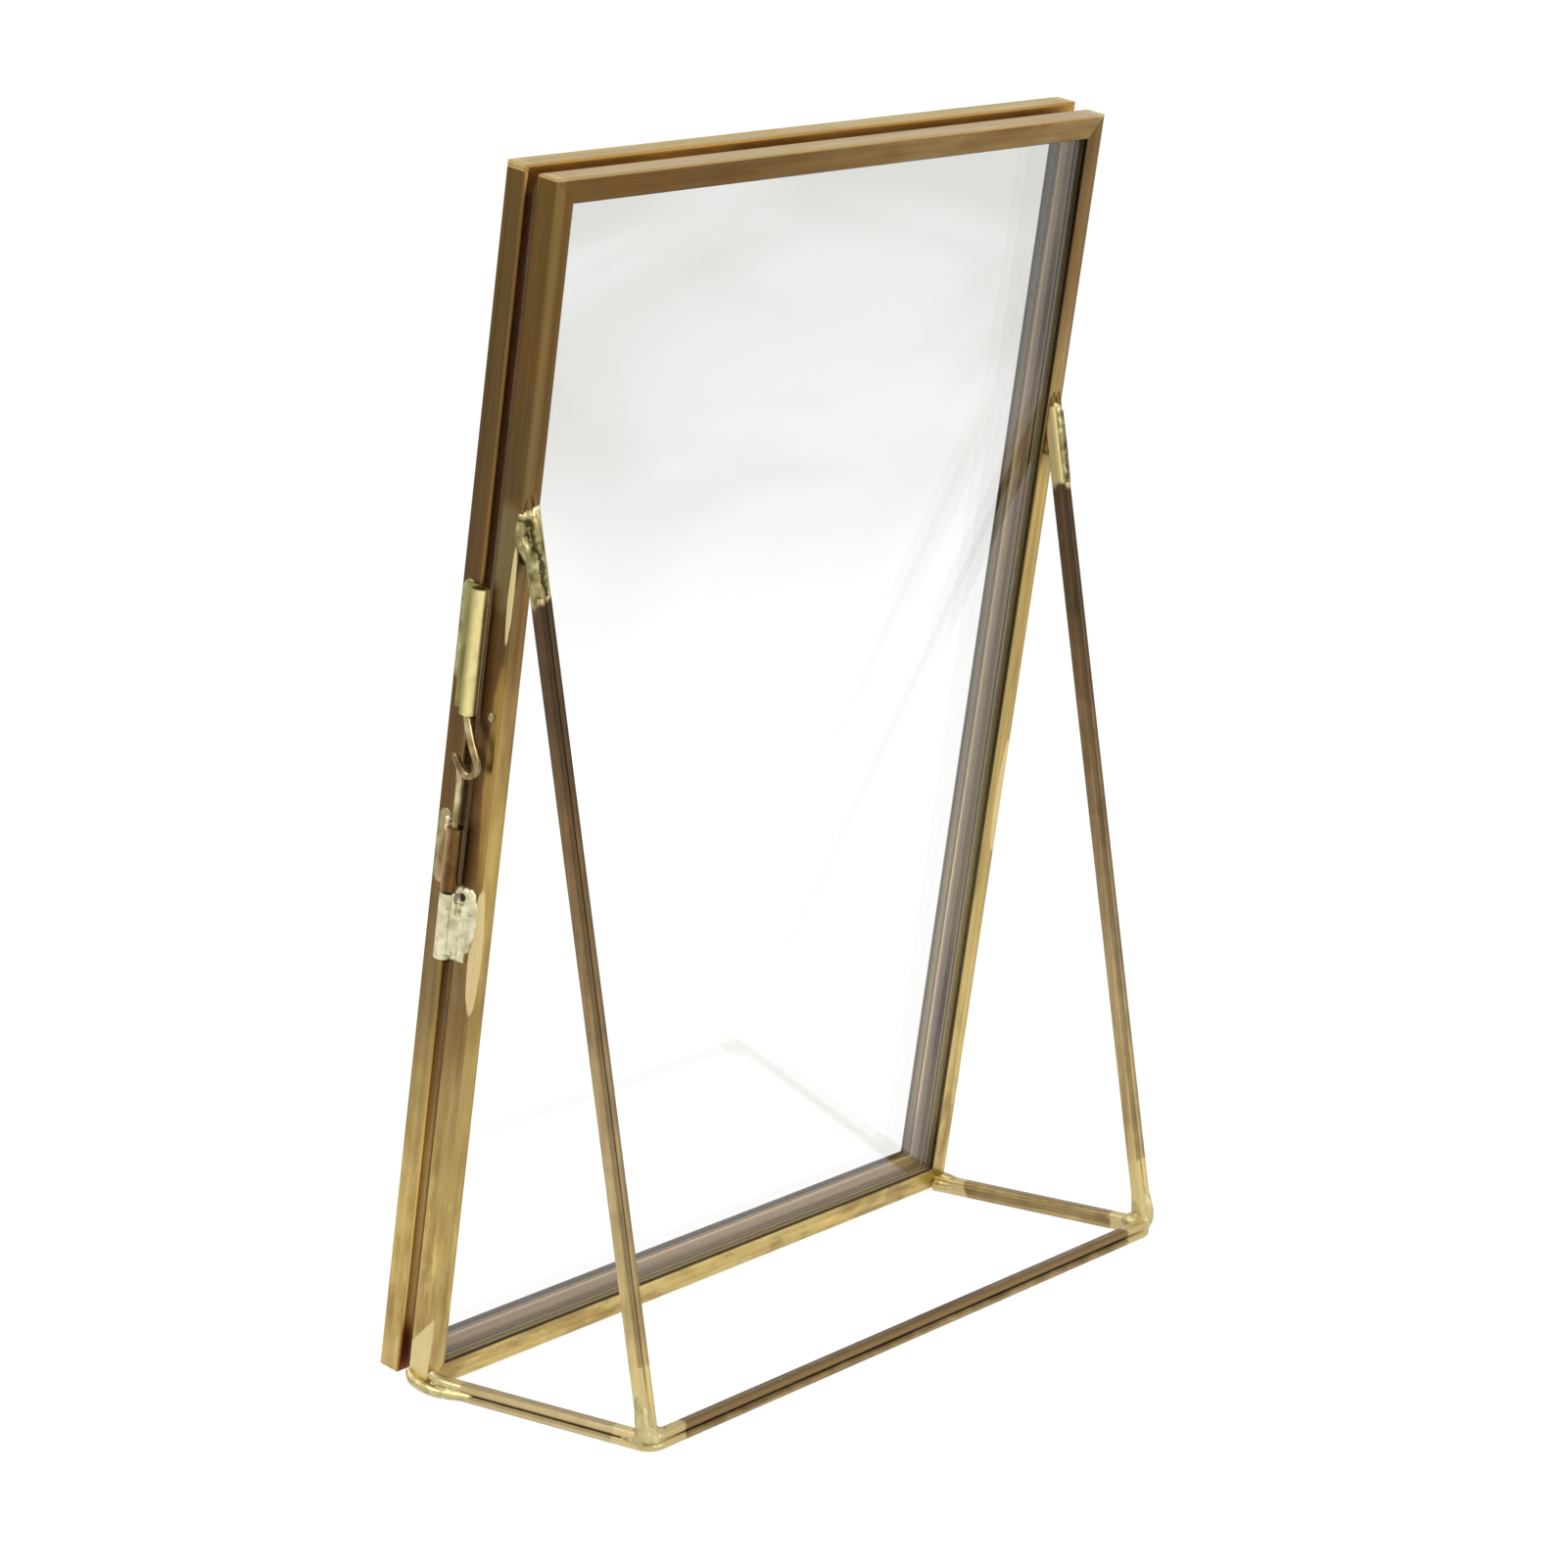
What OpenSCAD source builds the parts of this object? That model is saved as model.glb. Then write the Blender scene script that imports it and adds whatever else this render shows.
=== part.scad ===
// Floating picture frame: two glazed brass leaves, hinged together, on a brass wire stand.
// The front faces -Y, the stand reaches out towards +Y, and +Z is up. The hinges are on the
// -X side and the sliding bolt is on the +X side. Lengths are in millimetres.

/* [Leaves] */
// Width of each leaf across its brass channel
leaf_w = 110; // [80:1:220]
// Height of each leaf, measured up its slope
leaf_h = 163; // [140:1:300]
// Depth of the brass channel, front to back
came_depth = 3.5; // [3:0.1:6]
// Width of the face of the brass channel
came_face = 3.25; // [2.8:0.05:6]
// Thickness of the channel's folded brass
came_wall = 0.45; // [0.3:0.05:0.6]
// Radius of the channel's folded outer edges
came_edge_r = 0.3; // [0.1:0.05:0.4]
// Dark gap between the two closed leaves
leaf_gap = 1.7; // [1.2:0.1:2.4]
// How far the leaves lean back from upright, in degrees
lean = 12; // [6:0.5:16]
// Height of the rear leaf's lowest edge above the table
leaf_lift = 0.5; // [0.2:0.1:2]
// How much further up the slope the front leaf sits than the rear one
front_rise = 0.6; // [0:0.1:1]

/* [Glass] */
// Thickness of each pane
glass_t = 2.0; // [1.5:0.1:2.2]
// How deep a pane sits in the channel
glass_bite = 2.4; // [1.2:0.1:2.5]

/* [Stand] */
// Width of the folded brass strip that the stand is bent from
stock_w = 2.0; // [1.6:0.1:4]
// Height of the folded strip
stock_h = 2.4; // [1.8:0.1:4]
// Width of the seam where the strip is folded shut
seam_w = 0.16; // [0.1:0.02:0.3]
// Distance from the leaf's lower rear edge to the middle of the rear floor bar
stand_depth = 38.5; // [30:1:60]
// Where the middle of a strut meets the leaf, measured up the leaf
strut_reach = 120.5; // [100:0.5:132]
// Bend radius of the floor bars at the two rear corners, on their middle line
bend_r = 1.5; // [1.3:0.1:4]

/* [Hinges] */
// Outer radius of every rolled brass knuckle and tube
knuckle_r = 1.1; // [1:0.05:1.6]
// Radius of the hinge pins and of the bolt's wire
wire_r = 0.5; // [0.4:0.05:0.6]
// Length of a hinge's middle knuckle, which is on the rear leaf
mid_knuckle_l = 8; // [5:0.5:14]
// Length of each outer knuckle, on the front leaf
end_knuckle_l = 4; // [3:0.5:8]
// Height of the middle of the lower hinge, measured up the leaf
lower_hinge_at = 28; // [20:1:40]
// Distance of the middle of the upper hinge below the leaf's top edge
upper_hinge_below = 28; // [20:1:40]

/* [Bolt] */
// Lower end of the keeper tube on the rear leaf, measured up the leaf
keeper_at = 61; // [50:0.5:70]
// Length of the keeper tube
keeper_l = 8.9; // [6:0.1:12]
// Length of the short guide knuckle above the keeper
guide_knuckle_l = 8.4; // [6:0.1:12]
// Room between the two guides, where the bolt's thumb loop slides
thumb_room = 15.3; // [14:0.1:24]
// Length of the long guide tube
guide_tube_l = 16.5; // [12:0.5:30]
// How far the bolt slides down to lock
bolt_travel = 6; // [4:0.5:7]

/* [Clearances] */
// Radial clearance between a wire and the knuckle round it
run_gap = 0.05; // [0.02:0.01:0.1]
// Clearance between the ends of neighbouring knuckles
end_gap = 0.25; // [0.2:0.05:0.5]
// Film of solder that holds a tube off the leaf's side
film = 0.1; // [0.05:0.05:0.2]

/* [Hidden] */
$fn = 48;

// Colours of the aged brass, the brighter tubes, the solder and the glass
aged_brass = [0.52, 0.41, 0.19];
bright_brass = [0.78, 0.69, 0.42];
stand_brass = [0.56, 0.46, 0.25];
solder_grey = [0.80, 0.76, 0.58];
clear_glass = [0.85, 0.92, 0.90, 0.35];

// Overrun of every cut, past the faces that it goes through
over = 1;

// Places across the closed pair of leaves, behind the rear face of the rear leaf as positive
pair_depth = 2 * came_depth + leaf_gap;
front_leaf_n = -(came_depth + leaf_gap);
groove_n = -(came_depth + leaf_gap / 2);

// Places of the stand: the struts and the side bars follow the middle of the channel's face
stand_x = leaf_w / 2 - came_face / 2;
lobe_r = stock_h / 4;
seam_depth = lobe_r * 1.4;
strut_foot_y = stand_depth - bend_r * (1 - cos(45));
strut_top_y = strut_reach * sin(lean);
strut_top_z = leaf_lift + strut_reach * cos(lean);
strut_tilt = atan2(strut_foot_y - strut_top_y, strut_top_z - stock_h);
strut_l = norm([strut_foot_y - strut_top_y, strut_top_z - stock_h]);

// Where the web under a strut's top ends on the leaf, as [y, z] in the strut's own place
function strut_web_end(l) = [-l * sin(lean + strut_tilt), strut_l - l * cos(lean + strut_tilt)];

// Places of the tubes at the leaves' sides
bore_r = wire_r + run_gap;
tube_out = film + knuckle_r;
tube_x = leaf_w / 2 + tube_out;
tail_t = came_wall;
tail_w = came_depth * 0.63;
upper_hinge_at = leaf_h - upper_hinge_below;
knuckle_step = mid_knuckle_l / 2 + end_gap;
guide_knuckle_at = keeper_at + keeper_l + end_gap * 1.6;
guide_tube_at = guide_knuckle_at + guide_knuckle_l + thumb_room;

// Solder: radius of the small beads, and thickness of the patches on the leaves' sides
bead_r = stock_w * 0.76;
patch_t = came_wall + 0.8 * film;
floor_gap = leaf_lift / 2;

// The bolt's wire, as places above the guide knuckle, out from the tube and behind its middle
loop_out = wire_r * 2;
elbow_r = wire_r + run_gap * 0.7;
bolt_route = [
  [thumb_room + guide_tube_l * 0.85, 0, 0],
  [thumb_room * 0.92, 0, 0],
  [thumb_room * 0.71, loop_out * 0.6, wire_r * 4.2],
  [thumb_room * 0.56, loop_out * 0.3, wire_r * 5.2],
  [thumb_room * 0.47, loop_out * 0.9, wire_r * 3.4],
  [thumb_room * 0.61, loop_out, -wire_r * 2.4],
  [bolt_travel + elbow_r + end_gap, 0, 0],
  [-guide_knuckle_l + end_gap * 2, 0, 0]
];

// The whole is centred on its outer size, which these reaches give
latch_reach = tube_out + max(knuckle_r, loop_out + elbow_r);
hinge_reach = tube_out + knuckle_r;
front_y = -(pair_depth - came_edge_r) * cos(lean) + (front_rise + came_edge_r) * sin(lean) - came_edge_r;
back_y = max(stand_depth + stock_w / 2, strut_foot_y + bead_r);
centre_x = (latch_reach - hinge_reach) / 2;
centre_y = (front_y + back_y) / 2;

// Moves the built object so that its outer box is centred over the origin
module placed() {
  translate([-centre_x, -centre_y, 0]) children();
}

// Stands its children up the slope: z runs up the leaf, y = 0 is the rear leaf's rear face
module on_leaf() {
  translate([0, 0, leaf_lift]) rotate([-lean, 0, 0]) children();
}

// Sets its children, drawn at the rear leaf's height, at the front leaf's height
module on_front_leaf() {
  on_leaf() translate([0, 0, front_rise]) children();
}

// Everything in front of the rear leaf's rear face, for cuts
module leaf_side_cut() {
  on_leaf() translate([-leaf_w, -leaf_w, -leaf_h]) cube([2 * leaf_w, leaf_w, 3 * leaf_h]);
}

// Everything below the solder's clearance over the table
module floor_cut() {
  translate([-leaf_w, -leaf_w, -leaf_w]) cube([2 * leaf_w, 3 * leaf_w, leaf_w + floor_gap]);
}

// A rectangle with round corners, centred
module round_rect(w, h, r) {
  square([w - 2 * r, h], center = true);
  square([w, h - 2 * r], center = true);
  for (x = [-1, 1], y = [-1, 1])
    translate([x * (w / 2 - r), y * (h / 2 - r)]) circle(r);
}

// A rectangle with its corners cut off by c, centred
module clipped_rect(w, h, c) {
  polygon([
    [c - w / 2, -h / 2], [w / 2 - c, -h / 2], [w / 2, c - h / 2], [w / 2, h / 2 - c],
    [w / 2 - c, h / 2], [c - w / 2, h / 2], [-w / 2, h / 2 - c], [-w / 2, c - h / 2]
  ]);
}

// Section of the brass channel: outer edge on y = 0, open edge at y = came_face
module came_section() {
  difference() {
    translate([-came_depth / 2, came_face / 2]) round_rect(came_depth, came_face, came_edge_r);
    translate([-came_depth + came_wall, came_wall])
      square([came_depth - 2 * came_wall, came_face]);
  }
}

// One mitred bar of a leaf, of outer length l, lying along x with its open edge upwards
module came_bar(l) {
  intersection() {
    translate([-l / 2, 0, 0]) rotate([90, 0, 90]) linear_extrude(l) came_section();
    translate([0, over, 0]) rotate([90, 0, 0]) linear_extrude(came_depth + 2 * over)
      polygon([[-l / 2, 0], [l / 2, 0], [l / 2 - came_face, came_face], [came_face - l / 2, came_face]]);
  }
}

// The four bars of a leaf whose rear face is at n
module bottom_bar(n) {
  translate([0, n, 0]) came_bar(leaf_w);
}
module top_bar(n) {
  translate([0, n, leaf_h]) mirror([0, 0, 1]) came_bar(leaf_w);
}
module hinge_bar(n) {
  translate([-leaf_w / 2, n, leaf_h / 2]) rotate([0, 90, 0]) came_bar(leaf_h);
}
module latch_bar(n) {
  mirror([1, 0, 0]) hinge_bar(n);
}

// A pane in the channels of a leaf whose rear face is at n
module pane(n) {
  inset = came_face - glass_bite;
  translate([inset - leaf_w / 2, n - (came_depth + glass_t) / 2, inset])
    cube([leaf_w - 2 * inset, glass_t, leaf_h - 2 * inset]);
}

// Section of the stand's folded strip: the seam between its two lips faces +x
module stock_section() {
  edge_x = stock_w / 2 - lobe_r;
  difference() {
    union() {
      translate([-lobe_r / 2, 0]) round_rect(stock_w - lobe_r, stock_h, lobe_r * 0.9);
      square([2 * edge_x, stock_h], center = true);
      for (y = [-1, 1]) translate([edge_x, y * lobe_r]) circle(lobe_r);
    }
    translate([stock_w / 2 - seam_depth, -seam_w / 2]) square([seam_depth + over, seam_w]);
  }
}

// Floor bar along one side, from the leaf back to the rear corner's bend, on the +x side
module side_bar() {
  difference() {
    translate([stand_x, stand_depth - bend_r, stock_h / 2]) rotate([90, 0, 0])
      linear_extrude(stand_depth) stock_section();
    leaf_side_cut();
  }
}

// Rear floor bar with the bend at each end
module rear_bar() {
  run = 2 * (stand_x - bend_r);
  translate([run / 2, stand_depth, stock_h / 2]) rotate([90, 0, -90])
    linear_extrude(run) mirror([1, 0]) stock_section();
  for (m = [0, 1]) mirror([m, 0, 0])
    translate([stand_x - bend_r, stand_depth - bend_r, stock_h / 2])
      rotate_extrude(angle = 90) translate([bend_r, 0]) stock_section();
}

// Strut on the +x side, from its foot on the corner up to the leaf's rear face
module strut_blank() {
  translate([stand_x, strut_foot_y, stock_h]) rotate([strut_tilt, 0, 0]) children();
}
module strut_run() {
  strut_blank() translate([0, 0, -stock_h]) linear_extrude(strut_l + 3 * stock_h) rotate(90) children();
}
module strut() {
  difference() {
    strut_run() stock_section();
    leaf_side_cut();
    translate([0, 0, stock_h - leaf_w]) cube([leaf_w, leaf_w, leaf_w]);
  }
}

// Solder at the strut's top: a run down the strut, a web in the crotch, and a bead on the leaf
module strut_top_bead() {
  run_l = 3 * stock_h;
  web_l = 1.5 * run_l;
  difference() {
    union() {
      strut_blank() {
        translate([0, 0, strut_l - run_l]) cylinder(r1 = bead_r * 0.93, r2 = bead_r * 0.95, h = run_l);
        translate([0, 0, strut_l]) sphere(bead_r);
        rotate([90, 0, 90]) linear_extrude(stock_w * 0.7, center = true)
          polygon([[0, strut_l], [0, strut_l - web_l], strut_web_end(web_l)]);
      }
      on_leaf() translate([stand_x, 0, strut_reach + stock_w]) sphere(bead_r * 0.9);
    }
    leaf_side_cut();
    strut_run() clipped_rect(stock_w, stock_h, lobe_r * 0.5);
  }
}

// Solder round the strut's foot on the bent corner
module corner_bead() {
  difference() {
    hull() {
      translate([stand_x, strut_foot_y, stock_h * 0.7]) sphere(bead_r, $fn = 20);
      strut_blank() translate([0, 0, stock_h]) sphere(bead_r * 0.9, $fn = 20);
    }
    rear_bar();
    side_bar();
    strut();
    floor_cut();
  }
}

// Solder that joins the front end of a side bar to the leaf
module front_bead() {
  difference() {
    union() {
      hull() {
        translate([stand_x, bead_r, stock_h * 0.6]) sphere(bead_r, $fn = 20);
        on_leaf() translate([stand_x, 0, stock_h * 1.9]) sphere(bead_r * 0.6, $fn = 20);
      }
      on_leaf() hull() {
        translate([leaf_w / 2 - bead_r * 0.6, 0, bead_r * 0.7]) sphere(bead_r, $fn = 20);
        translate([leaf_w / 2 - bead_r * 0.4, -came_depth * 0.4, bead_r * 1.6]) sphere(bead_r * 0.8, $fn = 20);
      }
    }
    on_leaf() translate([0, -came_depth, 0]) cube([leaf_w / 2, came_depth, leaf_h]);
    on_leaf() translate([0, -came_depth - over, 0]) mirror([0, 1, 0]) cube([leaf_w, leaf_w, leaf_h]);
    side_bar();
    floor_cut();
  }
}

// A rolled knuckle on the +x side, l long from height v, with its tail on the front (-1) or rear (1) leaf
module knuckle(v, l, leaf) {
  reach = leaf_gap / 2 + tail_w;
  translate([leaf_w / 2, groove_n, v]) difference() {
    union() {
      translate([tube_out, 0, 0]) cylinder(r = knuckle_r, h = l);
      translate([0, leaf < 0 ? -reach : 0, 0]) cube([tail_t, reach, l]);
    }
    translate([tube_out, 0, -over]) cylinder(r = bore_r, h = l + 2 * over);
  }
}

// A low patch of solder over a knuckle's tail, from height v and l long
module patch(v, l, leaf) {
  side = came_depth - 2 * came_edge_r;
  n = leaf < 0 ? front_leaf_n - came_edge_r - side : -came_edge_r - side;
  tail_end = leaf_gap / 2 + tail_w + film;
  difference() {
    intersection() {
      translate([leaf_w / 2, n, v]) cube([patch_t, side, l]);
      translate([leaf_w / 2 - l, n + side / 2, v + l / 2]) rotate([90, 0, 0])
        cylinder(r = l + patch_t, h = came_depth, center = true, $fn = 360);
    }
    translate([leaf_w / 2 - over, groove_n + (leaf < 0 ? -tail_end : 0), v - over])
      cube([tail_t + over, tail_end, l + 2 * over]);
  }
}

// A pin through the hinge whose middle is at height v, with a peened head at each end
module hinge_pin(v) {
  reach = knuckle_step + end_knuckle_l;
  head_r = (wire_r + knuckle_r) / 2;
  translate([tube_x, groove_n, v]) for (m = [0, 1]) mirror([0, 0, m]) {
    cylinder(r = wire_r, h = reach + head_r);
    translate([0, 0, reach + head_r + end_gap / 2]) sphere(head_r);
  }
}

// The hinge's pair of outer knuckles about height v
module end_knuckles(v) {
  knuckle(v + knuckle_step, end_knuckle_l, -1);
  knuckle(v - knuckle_step - end_knuckle_l, end_knuckle_l, -1);
}

// A straight stretch of round wire between two points
module wire_run(a, b) {
  d = b - a;
  translate(a) rotate([0, acos(d.z / norm(d)), atan2(d.y, d.x)]) cylinder(r = wire_r, h = norm(d));
}

// Stands its children on the leaves' side that carries the hinges, or the bolt
module on_hinge_side() {
  placed() on_leaf() mirror([1, 0, 0]) children();
}
module on_latch_side() {
  placed() on_leaf() children();
}

module rear_leaf_top_bar() {
  color(aged_brass) placed() on_leaf() top_bar(0);
}
module rear_leaf_bottom_bar() {
  color(aged_brass) placed() on_leaf() bottom_bar(0);
}
module rear_leaf_hinge_bar() {
  color(aged_brass) placed() on_leaf() hinge_bar(0);
}
module rear_leaf_latch_bar() {
  color(aged_brass) placed() on_leaf() latch_bar(0);
}
module front_leaf_top_bar() {
  color(aged_brass) placed() on_front_leaf() top_bar(front_leaf_n);
}
module front_leaf_bottom_bar() {
  color(aged_brass) placed() on_front_leaf() bottom_bar(front_leaf_n);
}
module front_leaf_hinge_bar() {
  color(aged_brass) placed() on_front_leaf() hinge_bar(front_leaf_n);
}
module front_leaf_latch_bar() {
  color(aged_brass) placed() on_front_leaf() latch_bar(front_leaf_n);
}

module rear_glass() {
  color(clear_glass) placed() on_leaf() pane(0);
}
module front_glass() {
  color(clear_glass) placed() on_front_leaf() pane(front_leaf_n);
}

module base_hinge_side_bar() {
  color(stand_brass) placed() mirror([1, 0, 0]) side_bar();
}
module base_latch_side_bar() {
  color(stand_brass) placed() side_bar();
}
module base_rear_bar() {
  color(stand_brass) placed() rear_bar();
}
module strut_hinge_side() {
  color(stand_brass) placed() mirror([1, 0, 0]) strut();
}
module strut_latch_side() {
  color(stand_brass) placed() strut();
}

module strut_top_solder() {
  color(solder_grey) placed() for (m = [0, 1]) mirror([m, 0, 0]) strut_top_bead();
}
module base_corner_solder() {
  color(solder_grey) placed() for (m = [0, 1]) mirror([m, 0, 0]) corner_bead();
}
module base_front_solder() {
  color(solder_grey) placed() for (m = [0, 1]) mirror([m, 0, 0]) front_bead();
}

module lower_hinge_rear_knuckle() {
  color(bright_brass) on_hinge_side() knuckle(lower_hinge_at - mid_knuckle_l / 2, mid_knuckle_l, 1);
}
module lower_hinge_front_knuckles() {
  color(bright_brass) on_hinge_side() end_knuckles(lower_hinge_at);
}
module lower_hinge_pin() {
  color(bright_brass) on_hinge_side() hinge_pin(lower_hinge_at);
}
module upper_hinge_rear_knuckle() {
  color(bright_brass) on_hinge_side() knuckle(upper_hinge_at - mid_knuckle_l / 2, mid_knuckle_l, 1);
}
module upper_hinge_front_knuckles() {
  color(bright_brass) on_hinge_side() end_knuckles(upper_hinge_at);
}
module upper_hinge_pin() {
  color(bright_brass) on_hinge_side() hinge_pin(upper_hinge_at);
}

module hinge_solder_rear() {
  color(solder_grey) on_hinge_side() for (v = [lower_hinge_at, upper_hinge_at])
    patch(v - mid_knuckle_l / 2, mid_knuckle_l, 1);
}
module hinge_solder_front() {
  color(solder_grey) on_hinge_side() for (v = [lower_hinge_at, upper_hinge_at]) {
    patch(v + knuckle_step, end_knuckle_l, -1);
    patch(v - knuckle_step - end_knuckle_l, end_knuckle_l, -1);
  }
}

module bolt_guide_tube() {
  color(bright_brass) on_latch_side() knuckle(guide_tube_at, guide_tube_l, -1);
}
module bolt_guide_knuckle() {
  color(bright_brass) on_latch_side() knuckle(guide_knuckle_at, guide_knuckle_l, -1);
}
module bolt_keeper() {
  color(bright_brass) on_latch_side() knuckle(keeper_at, keeper_l, 1);
}
module latch_bolt() {
  start = [tube_x, groove_n, guide_knuckle_at + guide_knuckle_l];
  route = [for (p = bolt_route) start + [p[1], p[2], p[0]]];
  color(bright_brass) on_latch_side() {
    for (i = [1 : len(route) - 1]) wire_run(route[i - 1], route[i]);
    for (i = [1 : len(route) - 2]) translate(route[i]) sphere(elbow_r);
  }
}

module guide_solder() {
  color(solder_grey) on_latch_side() {
    patch(guide_tube_at + guide_tube_l * 0.3, guide_tube_l * 0.65, -1);
    patch(guide_knuckle_at, guide_knuckle_l, -1);
  }
}
module keeper_solder() {
  color(solder_grey) on_latch_side() patch(keeper_at - keeper_l * 0.3, keeper_l * 1.3, 1);
}

rear_leaf_top_bar();
rear_leaf_bottom_bar();
rear_leaf_hinge_bar();
rear_leaf_latch_bar();
front_leaf_top_bar();
front_leaf_bottom_bar();
front_leaf_hinge_bar();
front_leaf_latch_bar();
rear_glass();
front_glass();
base_hinge_side_bar();
base_latch_side_bar();
base_rear_bar();
strut_hinge_side();
strut_latch_side();
strut_top_solder();
base_corner_solder();
base_front_solder();
lower_hinge_rear_knuckle();
lower_hinge_front_knuckles();
lower_hinge_pin();
upper_hinge_rear_knuckle();
upper_hinge_front_knuckles();
upper_hinge_pin();
hinge_solder_rear();
hinge_solder_front();
bolt_guide_tube();
bolt_guide_knuckle();
bolt_keeper();
latch_bolt();
guide_solder();
keeper_solder();
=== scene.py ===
# %% [markdown]
# # A floating picture frame of aged brass and glass
#
# The real frame is two glazed leaves of folded brass channel, hinged together, on a stand of
# folded brass strip that is soldered on behind. Its bars, tubes and panes come from the CAD
# model, which is loaded as a fixed frame. Blender adds what a CAD solid can't give: brass that
# has aged unevenly, solder that has flowed and set, and wire bent by hand.

import math
from types import SimpleNamespace

import bpy
from mathutils import Matrix, Vector


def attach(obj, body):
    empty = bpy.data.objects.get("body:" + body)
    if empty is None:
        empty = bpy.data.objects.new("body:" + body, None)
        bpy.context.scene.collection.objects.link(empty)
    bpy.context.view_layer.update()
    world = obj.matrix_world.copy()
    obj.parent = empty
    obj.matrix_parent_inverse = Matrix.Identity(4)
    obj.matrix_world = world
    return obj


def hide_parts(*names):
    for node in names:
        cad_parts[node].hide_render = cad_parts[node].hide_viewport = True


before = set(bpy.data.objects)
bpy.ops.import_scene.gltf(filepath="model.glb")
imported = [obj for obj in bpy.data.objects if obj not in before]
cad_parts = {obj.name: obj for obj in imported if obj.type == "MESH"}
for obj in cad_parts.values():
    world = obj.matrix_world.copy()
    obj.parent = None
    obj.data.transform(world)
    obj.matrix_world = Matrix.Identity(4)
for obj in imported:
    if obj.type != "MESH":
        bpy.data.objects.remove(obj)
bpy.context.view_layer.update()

# %% [markdown]
# ## Places on the leaves
#
# The leaves lean back, so a place on them is easiest to say in their own terms: how far to the
# side, how far up the slope, and how far behind the rear leaf's rear face. One helper turns
# that into the metres of the scene. The same lean turns the patterns of the materials, so that
# streaks run along the bars and not across them.

# %% Places on the leaves and the stand
MM = 0.001
# How far the leaves lean back, and how high their lower edge is held off the table.
LEAN = math.radians(12)
LIFT = 0.5
# The middle of the part's box in its own millimetres, which is the scene's origin.
CENTRE_X, CENTRE_Y = 0.2175, 15.6257
# The struts: how far to the side they stand, the middle of their top, and how far they tilt.
STAND_X = 53.375
STRUT_TOP_Y, STRUT_TOP_Z = 25.053, 118.367
STRUT_TILT = math.radians(6.4)


def own_place(x, y, z):
    """A place in the part's own millimetres, as metres in the scene."""
    return Vector((x - CENTRE_X, y - CENTRE_Y, z)) * MM


def leaf_place(x, up, out):
    """A place x to the side, up the slope, and out behind the rear leaf's rear face."""
    y = up * math.sin(LEAN) + out * math.cos(LEAN)
    z = LIFT + up * math.cos(LEAN) - out * math.sin(LEAN)
    return own_place(x, y, z)


def strut_place(x, down, out):
    """A place x to the side, down a strut from its top, and out behind its middle line."""
    y = STRUT_TOP_Y + down * math.sin(STRUT_TILT) + out * math.cos(STRUT_TILT)
    z = STRUT_TOP_Z - down * math.cos(STRUT_TILT) + out * math.sin(STRUT_TILT)
    return own_place(x, y, z)


print("strut top at", tuple(round(c, 4) for c in strut_place(STAND_X, 0, 0)))

# %% [markdown]
# ## The camera
#
# The photograph was taken from behind the frame, a little above it and from the bolt's side,
# with a long lens from about 0.6 m. These numbers were fitted to edges read along the whole
# photograph, so the camera isn't moved by eye.

# %% The camera
STANDPOINT = (0.44378293, 0.38487137, 0.20039244)
camera_data = bpy.data.cameras.new("photo_camera")
camera_data.sensor_width = 36
camera_data.lens = 102.15
camera_data.clip_start = 0.01
camera = bpy.data.objects.new("photo_camera", camera_data)
bpy.context.scene.collection.objects.link(camera)
looking = Vector((-0.74116665, -0.63743423, -0.21059344)).normalized()
upwards = Vector((-0.18250816, -0.11055916, 0.9769685))
sideways = looking.cross(upwards).normalized()
upwards = sideways.cross(looking)
turned = Matrix((sideways, upwards, -looking)).transposed().to_4x4()
camera.matrix_world = Matrix.Translation(STANDPOINT) @ turned
bpy.context.scene.camera = camera
bpy.context.scene.view_settings.view_transform = "Standard"
print("camera", round(camera_data.lens, 2), "mm lens")

# %% [markdown]
# ## Colours and nodes
#
# Colours are written as the hex values that an eye or a paint program reads, and the shader
# wants them linear, so one function turns them. A second one adds a node, sets it and links
# it, which keeps each material readable from top to bottom as a list of steps. The settings
# that come back again and again have short names.

# %% Colours and nodes
SMOOTH = {"interpolation_type": "SMOOTHSTEP"}
MIX_COLOUR = {"data_type": "RGBA"}
TINT = {"data_type": "RGBA", "blend_type": "MULTIPLY"}
PLUS, MINUS, TIMES, OVER = ({"operation": word} for word in ("ADD", "SUBTRACT", "MULTIPLY", "DIVIDE"))
SMALLER, LARGER = {"operation": "MINIMUM"}, {"operation": "MAXIMUM"}
UNSIGNED, TIMES_PLUS = {"operation": "ABSOLUTE"}, {"operation": "MULTIPLY_ADD"}


def linear(hex_colour):
    """An sRGB hex colour as the linear colour that a shader works with."""
    parts = [int(hex_colour[i : i + 2], 16) / 255 for i in (0, 2, 4)]
    bright = [c / 12.92 if c <= 0.04045 else ((c + 0.055) / 1.055) ** 2.4 for c in parts]
    return (*bright, 1.0)


def add(tree, kind, settings=None, inputs=None, stops=()):
    """Adds one node. Each input takes a value, a node or a node's output. Stops are a ramp's."""
    made = tree.nodes.new("ShaderNode" + kind)
    for key, value in (settings or {}).items():
        setattr(made, key, value)
    for key, value in (inputs or {}).items():
        if isinstance(value, bpy.types.Node):
            value = value.outputs[2 if value.bl_idname == "ShaderNodeMix" else 0]
        if isinstance(value, bpy.types.NodeSocket):
            tree.links.new(value, made.inputs[key])
        else:
            made.inputs[key].default_value = value
    for i, (place, colour) in enumerate(stops):
        marks = made.color_ramp.elements
        mark = marks[i] if i < 2 else marks.new(place)
        mark.position = place
        mark.color = linear(colour)
    return made


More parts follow.
